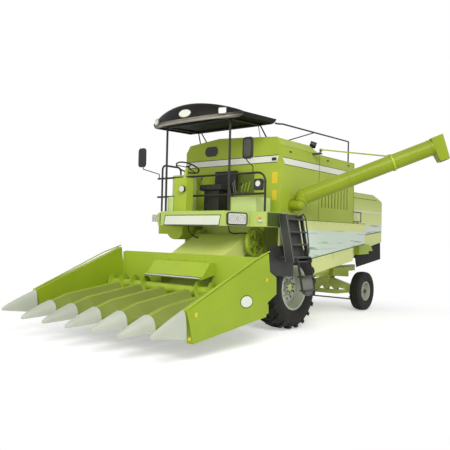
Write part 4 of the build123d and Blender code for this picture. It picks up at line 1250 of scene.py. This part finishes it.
# Mirrors: rounded shells on bent arms, with the glass toward the operator
mirrors = {
    "shells": (((0.930, -1.048, 3.170), (0.216, 0.375), (0.190, 0.346)),           # middle, shell and glass
               ((-1.460, -1.268, 3.140), (0.200, 0.370), (0.174, 0.342))),
    "back": (0.150, 0.290),
    "arms": (((0.980, -0.978, 2.770), (0.980, -0.978, 2.860), (0.890, -1.040, 2.960), (0.890, -1.044, 3.080)),
             ((-1.295, -0.978, 2.770), (-1.295, -0.978, 2.840), (-1.460, -1.258, 2.920),
              (-1.460, -1.262, 3.060))),
    "arm": 0.009, "bend": 0.030,
}


def buildMirrors():
    form = mirrors
    bm = bmesh.new()
    for middle, shell, glass in form["shells"]:
        addFrontPanel(bm, middle, *shell, 0.034, corner=0.060)
    shells = finishPiece(bm, "mirrorShells", "black", bevel=0.008, smooth=True)
    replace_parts(shells, "mirrors")
    bm = bmesh.new()
    for arm in form["arms"]:
        addPipe(bm, arm, form["arm"], form["bend"])
    finishPiece(bm, "mirrorArms", "black", smooth=True)
    bm = bmesh.new()
    for (x, y, z), shell, glass in form["shells"]:
        addPanel(bm, (x, y - 0.001, z), (-1, 0, 0), upward, *glass, 0.004, corner=0.050)
    finishPiece(bm, "mirrorGlass", "bright")
    bm = bmesh.new()
    x, y, z = form["shells"][0][0]
    addFrontPanel(bm, (x, y - 0.034, z), *form["back"], 0.003, corner=0.045)
    finishPiece(bm, "mirrorBack", "iron", bevel=0.001)


buildMirrors()


# Oil tank with a round belly under the platform, and boxes along the left side
tanks = {
    "front": -0.980, "long": 0.320, "belly": (-0.840, 1.812, 0.240), "arc": (215.7, 324.3), "steps": 12,
    "left": ((-1.280, 1.830), (-1.280, 1.672), (-1.035, 1.672)), "right": ((-0.645, 1.672), (-0.645, 1.830)),
    "boxes": ((((3.250, 1.290), (3.760, 1.300), (3.760, 1.520), (3.250, 1.500)), 0.830, 0.955),
              (((3.780, 1.362), (4.130, 1.366), (4.040, 1.490), (3.780, 1.486)), 0.830, 0.890),
              (((2.400, 1.010), (2.365, 0.832), (3.140, 0.780), (3.140, 0.942), (3.356, 0.946),
                (3.356, 1.010)), 0.660, 0.755)),
}


def buildTanksAndBoxes():
    form = tanks
    middleX, middleZ, radius = form["belly"]
    first, last = form["arc"]
    belly = list(form["left"])
    for k in range(1, form["steps"]):
        angle = math.radians(first + k * (last - first) / form["steps"])
        belly.append((middleX + radius * math.cos(angle), middleZ + radius * math.sin(angle)))
    bm = bmesh.new()
    addFrontPlate(bm, form["front"], belly + list(form["right"]), -form["long"])
    finishPiece(bm, "oilTank", "lime", bevel=0.006, smooth=True)
    bm = bmesh.new()
    for profile, inner, outer in form["boxes"]:
        addFlank(bm, profile, inner, outer)
    finishPiece(bm, "sideBoxes", "lime", bevel=0.006)


buildTanksAndBoxes()


# Folding step: a flat bar bent to a U round a plate, with two treads
stepForm = {"front": -0.567, "rear": -0.163, "bar": 0.012, "drop": 0.475, "bow": 0.112,
            "hinge": (1.656, 1.250), "lean": 0.2035, "top": 0.022, "plateTop": -0.255,
            "treads": (0.755, 0.985), "treadHalf": 0.060}


def bowLine(inset, top):
    form = stepForm
    middle, half = (form["front"] + form["rear"]) / 2, (form["rear"] - form["front"]) / 2 - inset
    line = [(middle - half, top)]
    for k in range(13):
        angle = math.pi + math.pi * k / 12
        line.append((middle + half * math.cos(angle),
                     -form["drop"] + (form["bow"] - inset) * math.sin(angle)))
    return line + [(middle + half, top)]


def buildStep():
    form = stepForm
    hingeX, hingeZ = form["hinge"]
    turn = Matrix.Translation((hingeX, 0.0, hingeZ)) @ Matrix.Rotation(-form["lean"], 4, "Y")
    outer, inner = bowLine(0.0, form["top"]), bowLine(form["bar"], form["top"])
    bm = bmesh.new()
    for corners in zip(outer, outer[1:], inner[1:], inner):
        addPlate(bm, [(0.020, y, z) for y, z in corners], -0.040)
    bmesh.ops.transform(bm, matrix=turn, verts=bm.verts)
    for treadZ in form["treads"]:
        x = hingeX + (hingeZ - treadZ) * math.tan(form["lean"])
        addBox(bm, (x - form["treadHalf"], form["front"] + 0.002, treadZ),
               (x + form["treadHalf"], form["rear"] - 0.002, treadZ + 0.024))
    step = finishPiece(bm, "foldingStep", "charcoal", body="folding_step")
    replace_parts(step, "ladder_lower")
    bm = bmesh.new()
    addPlate(bm, [(0.003, y, z) for y, z in bowLine(form["bar"] - 0.001, form["plateTop"])], -0.006)
    bmesh.ops.transform(bm, matrix=turn, verts=bm.verts)
    finishPiece(bm, "stepPlate", "grey", body="folding_step")


buildStep()


# Ladder: pale edges on the stringers, ribs on the treads, back sheet, handrail and the wheel guard
ladder = {
    "top": (1.385, 2.060), "slope": 170 / 830,
    "edges": ((-0.655, 0.078), (-0.655, -0.078), (-0.040, 0.026)), "edgeLow": 1.24, "edgeHigh": 2.05,
    "treads": (1.300, 1.520, 1.740, 1.960), "ribs": 5,
    "sheetLow": 1.256, "sheetHigh": 2.060, "sheetBack": 0.066,
    "rail": ((2.040, 0.0, -0.060, 2.030), (2.040, 0.0, 0.020, 2.084), (1.990, 0.02, 0.060, 2.010),
             (1.664, 0.01, 0.060, 1.664), (1.400, 0.0, 0.030, 1.400), (1.330, 0.0, -0.050, 1.330)),
    "guard": ((-0.894, 1.507), (-0.864, 1.072), (-0.688, 0.992), (-0.136, 0.959), (-0.136, 1.440),
              (-0.520, 1.507)),
    "guardX": (1.2935, 1.3035),
}


def ladderLine(z):
    return ladder["top"][0] + (ladder["top"][1] - z) * ladder["slope"]


def buildLadderTrim():
    form = ladder
    low, high = form["edgeLow"], form["edgeHigh"]
    bm = bmesh.new()
    for y, shift in form["edges"]:
        addRod(bm, (ladderLine(low) + shift, y, low), (ladderLine(high) + shift, y, high), 0.005, sides=8)
    finishPiece(bm, "ladderEdges", "grey", smooth=True)
    bm = bmesh.new()
    for z in form["treads"]:
        for k in range(form["ribs"]):
            x = ladderLine(z) - 0.052 + k * 0.026
            addBox(bm, (x, -0.615, z + 0.025), (x + 0.010, -0.075, z + 0.029))
    finishPiece(bm, "treadRibs", "grey")
    bm = bmesh.new()
    low, high = form["sheetLow"], form["sheetHigh"]
    lowX, highX = ladderLine(low) - form["sheetBack"], ladderLine(high) - form["sheetBack"]
    addPlate(bm, [(lowX, -0.630, low), (lowX, -0.060, low), (highX, -0.060, high), (highX, -0.630, high)],
             0.008)
    addPipe(bm, [(ladderLine(at) + out, y, z) for at, out, y, z in form["rail"]], 0.012, 0.030)
    finishPiece(bm, "ladderSheet", "charcoal", smooth=True)
    bm = bmesh.new()
    addFlank(bm, form["guard"], *form["guardX"])
    addBox(bm, (form["guardX"][1], -0.650, 1.300), (ladderLine(1.340) - 0.085, -0.620, 1.340))
    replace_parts(finishPiece(bm, "wheelGuardPlate", "charcoal", bevel=0.002), "wheel_guard")


buildLadderTrim()


# Unloading auger: smooth tube, ball and neck at the elbow, and a spout hood that turns down
unloader = {
    "elbow": (1.320, 0.120, 2.400), "reach": (1.900, 1.190, 0.910), "swing": (-0.030, 0.680, 0.950),
    "radius": 0.143, "neck": 0.098, "collars": (0.02, 0.36, 0.985), "collarRise": 0.006,
    "hood": ((0.014, 0.150), (0.014, -0.160), (0.030, -0.290), (0.190, -0.300), (0.235, 0.150)),
    "hoodHalf": 0.140,
    "mouth": ((0.042, 0.125), (0.178, 0.125), (0.178, -0.125), (0.042, -0.125)), "mouthDrop": 0.302,
    "wall": 1.150, "flange": (0.128, 0.014),
    "socket": (0.150, 0.090, 0.112), "ring": (0.158, 0.152), "foot": 0.200,      # drops from the elbow
}


def buildUnloader():
    form = unloader
    elbow, reach, radius = Vector(form["elbow"]), Vector(form["reach"]), form["radius"]
    swing, along = Vector(form["swing"]).normalized(), reach.normalized()
    across = along.cross(Vector(upward)).normalized()
    up = across.cross(along)
    tip = elbow + reach
    bm = bmesh.new()
    addRod(bm, elbow, tip + along * 0.03, radius, sides=56)
    addBall(bm, elbow, radius, 40, 24)
    low, high, wide = form["socket"]
    addRod(bm, elbow - swing * low, elbow - swing * high, wide, sides=48)
    rise = form["collarRise"]
    for share in form["collars"]:
        middle = elbow + reach * share
        addRod(bm, middle - along * rise, middle + along * rise, radius + rise, sides=56)
    addRings(bm, [[tip + along * a + up * b + across * s for a, b in form["hood"]]
                  for s in (form["hoodHalf"], -form["hoodHalf"])])
    tube = finishPiece(bm, "unloadingTube", "tube", body="unloading_auger", bevel=0.004,
                       smooth=True)
    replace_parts(tube, "unloader_tube")
    # A black plate across the spout's mouth: painted shade of the tube's inside
    bm = bmesh.new()
    addPlate(bm, [tip + along * a - up * form["mouthDrop"] + across * s for a, s in form["mouth"]], 0.002)
    finishPiece(bm, "spoutMouthShade", "black", body="unloading_auger")
    bm = bmesh.new()
    neck, foot, wall = form["neck"], elbow - swing * form["foot"], form["wall"]
    low, high = [elbow - swing * drop for drop in form["ring"]]
    wide, thick = form["flange"]
    addRod(bm, foot, high, neck, sides=40)
    addBall(bm, foot, neck, 32, 20)
    addRod(bm, (wall, foot.y, foot.z), foot, neck, sides=40)
    addRod(bm, (wall, foot.y, foot.z), (wall + thick, foot.y, foot.z), wide, sides=40)
    addRod(bm, low, high, neck + 0.012, sides=40)
    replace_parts(finishPiece(bm, "unloaderNeck", "tube", smooth=True), "unloader_base")


buildUnloader()


# Engine bay: dark plates behind the upright slots, painted shade of the bay's inside
ventShade = {"x": 1.134, "y": 1.690, "z": 2.480, "size": (1.26, 0.50), "thick": 0.006}


def buildVentShade():
    bm = bmesh.new()
    addFlankPanels(bm, ventShade["x"], ventShade["y"], ventShade["z"], *ventShade["size"], ventShade["thick"])
    finishPiece(bm, "ventShadePlates", "iron")


buildVentShade()


# Rubber curtain round the hood's outlet: a hung sheet on each side and one across the rear, in shallow folds
curtain = {"top": ((3.300, 1.330), (4.130, 1.480), (4.755, 1.579)), "foot": ((3.420, 0.990), (4.790, 1.150)),
           "topRun": (3.302, 1.450), "footRun": (3.420, 1.360),
           "x": 0.802, "rearHalf": 0.786, "rearY": 4.714, "rearZ": (1.795, 1.152),
           "fold": 0.0045, "topFold": 0.3, "thick": 0.003, "columns": 60, "rows": 6,
           "sideFlat": (1.42, 0.42), "rearFlat": (1.60, 0.645), "sideFolds": 11, "rearFolds": 12}


def lineAt(points, y):
    for (y0, z0), (y1, z1) in zip(points, points[1:]):
        if y <= y1 or (y1, z1) == points[-1]:
            return z0 + (z1 - z0) * (y - y0) / (y1 - y0)


def hangSheet(name, route, width, height, replaced=None):
    # route gives the top and foot of each upright line of the sheet
    count = curtain["rows"]
    bm = bmesh.new()
    rows = []
    for top, foot in route:
        top, foot = Vector(top), Vector(foot)
        rows.append([bm.verts.new(top.lerp(foot, k / count)) for k in range(count + 1)])
    for left, right in zip(rows, rows[1:]):
        for k in range(count):
            bm.faces.new((left[k], right[k], right[k + 1], left[k + 1]))
    sheet = finishPiece(bm, name, "rubber", smooth=True)
    skin = sheet.modifiers.new("thickness", "SOLIDIFY")
    skin.thickness = curtain["thick"]
    skin.offset = 0.0
    if replaced:
        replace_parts(sheet, replaced)


def buildCurtain():
    form, count = curtain, curtain["columns"]
    fold, topFold = form["fold"], form["topFold"]
    for side, label in sideLabels:
        route = []
        for k in range(count + 1):
            share = k / count
            topY = form["topRun"][0] + form["topRun"][1] * share
            footY = form["footRun"][0] + form["footRun"][1] * share
            wave = fold * math.sin(share * math.tau * form["sideFolds"])
            x = side * form["x"]
            route.append(((x + wave * topFold, topY, lineAt(form["top"], topY)),
                          (x + wave, footY, lineAt(form["foot"], footY))))
        hangSheet("hoodCurtain" + label, route, *form["sideFlat"], "hood_curtain" if side > 0 else None)
    route = []
    high, low = form["rearZ"]
    for k in range(count + 1):
        share = k / count
        x = form["rearHalf"] * (2 * share - 1)
        wave = fold * math.sin(share * math.tau * form["rearFolds"])
        route.append(((x, form["rearY"] + wave * topFold, high), (x, form["rearY"] + wave, low)))
    hangSheet("hoodCurtainRear", route, *form["rearFlat"])


buildCurtain()


# Steel pipes under the platform and along the feeder
pipes = (
    (0.011, ((-0.563, -0.90, 1.830), (-0.563, -0.90, 1.740), (-0.52, -0.84, 1.66), (-0.43, -0.76, 1.60),
             (-0.41, -0.62, 1.60), (-0.41, -0.28, 1.60))),
    (0.011, ((0.45, -0.95, 1.870), (0.45, -0.95, 1.74), (0.50, -0.88, 1.70), (0.56, -0.70, 1.72),
             (0.56, -0.28, 1.72))),
    (0.012, ((-1.0, -0.655, 1.60), (-1.0, -0.58, 1.60), (-0.99, -0.50, 1.62), (-0.95, -0.44, 1.68),
             (-0.95, -0.36, 1.70))),
)


def buildPipes():
    bm = bmesh.new()
    for radius, points in pipes:
        addBend(bm, points, radius)
    finishPiece(bm, "oilPipes", "black", smooth=True)


buildPipes()
print("pieces made:", len(pieceCount))

# Studio: a white floor that keeps the machine's shadow, soft lamps and a plain world
plainWhite = (1.0, 1.0, 1.0, 1.0)
studio = {
    "floorHalf": 60.0,
    "floorTones": ((0.93, 0.93, 0.93, 1.0), (0.95, 0.95, 0.95, 1.0)),
    "worldLight": 0.42,
    "cardGlow": 0.39,
    "whiteFrom": 3.0, "whiteTo": 6.2,            # distances from the row frame's origin
    "aim": (0.3, 0.2, 1.4),
    "lamps": {"keyLamp": ((7.5, -7.0, 8.5), 6.0, 900.0), "fillLamp": ((-2.0, -12.0, 3.0), 6.0, 260.0)},
}


def directlySeen(tree):
    # One for what the camera sees straight, in a mirror or through glass
    path = addNode(tree, "LightPath").outputs
    seen = plus(tree, path["Is Camera Ray"], path["Is Glossy Ray"])
    return plus(tree, seen, path["Is Transmission Ray"], clamp=True)


def buildFloor():
    bm = bmesh.new()
    bmesh.ops.create_grid(bm, x_segments=1, y_segments=1, size=studio["floorHalf"])
    floor = newObject("studioFloor", bm)
    material, tree, shader, vector = newMaterial("floorCard")
    # Seen directly, the card adds a little white near the machine, where it takes the shadow, and turns into
    # the world's own white well away from it
    seen = directlySeen(tree)
    feed(tree, shader.inputs, {
        "Base Color": mixColour(tree, noiseOf(tree, vector, 0.7, 2.0), *studio["floorTones"]),
        "Roughness": 0.9, "Emission Color": plainWhite,
        "Emission Strength": times(tree, seen, studio["cardGlow"])})
    reach = addNode(tree, "VectorMath", {0: vector}, operation="LENGTH").outputs["Value"]
    away = rangeOf(tree, reach, studio["whiteFrom"], studio["whiteTo"], curve="SMOOTHSTEP")
    white = addNode(tree, "Emission", {"Strength": 1.0, "Color": plainWhite})
    share = times(tree, seen, away)
    blend = addNode(tree, "MixShader", {0: share, 1: shader.outputs[0], 2: white.outputs[0]})
    feed(tree, tree.nodes["Material Output"].inputs, {"Surface": blend.outputs[0]})
    floor.data.materials.append(material)


def buildWorld():
    world = bpy.data.worlds.new("studioWorld")
    bpy.context.scene.world = world
    world.use_nodes = True
    tree, light = world.node_tree, studio["worldLight"]
    strength = plus(tree, times(tree, directlySeen(tree), 1.0 - light), light)
    feed(tree, tree.nodes["Background"].inputs, {"Color": plainWhite, "Strength": strength})


def buildLamps():
    for name, (where, size, power) in studio["lamps"].items():
        lamp = bpy.data.lights.new(name, "AREA")
        lamp.energy = power
        lamp.size = size
        holder = hang(name, lamp)
        holder.location = place(*where)
        aim = place(*studio["aim"]) - place(*where)
        holder.rotation_euler = aim.to_track_quat("-Z", "Y").to_euler()


# The photograph's viewpoint: place in the machine's frame, heading, pitch and roll in degrees, and focal
# length and picture size in photo pixels
view = {"place": (6.618, -8.671, 1.682), "heading": 38.98, "pitch": -1.061, "roll": 1.263, "focal": 558.2,
        "picture": 450, "centre": 224.3, "sensor": 36.0, "far": 400.0}


def buildCamera():
    size = view["picture"]
    camera = bpy.data.cameras.new("photoCamera")
    camera.sensor_width = view["sensor"]
    camera.lens = view["focal"] / size * view["sensor"]
    camera.clip_end = view["far"]
    camera.shift_y = (view["centre"] - size / 2) / size
    turn, tilt, roll = [math.radians(view[name]) for name in ("heading", "pitch", "roll")]
    back = Vector((math.sin(turn) * math.cos(tilt), -math.cos(turn) * math.cos(tilt), math.sin(tilt)))
    right = Vector((math.cos(turn), math.sin(turn), 0.0))
    axes = Matrix((right, back.cross(right), back)).transposed().to_4x4()
    holder = hang("photoCamera", camera)
    holder.matrix_world = Matrix.Translation(place(*view["place"])) @ axes @ Matrix.Rotation(roll, 4, "Z")
    bpy.context.scene.camera = holder


buildFloor()
buildWorld()
buildLamps()
buildCamera()
bpy.context.scene.view_settings.view_transform = "Standard"
print("studio and camera set")
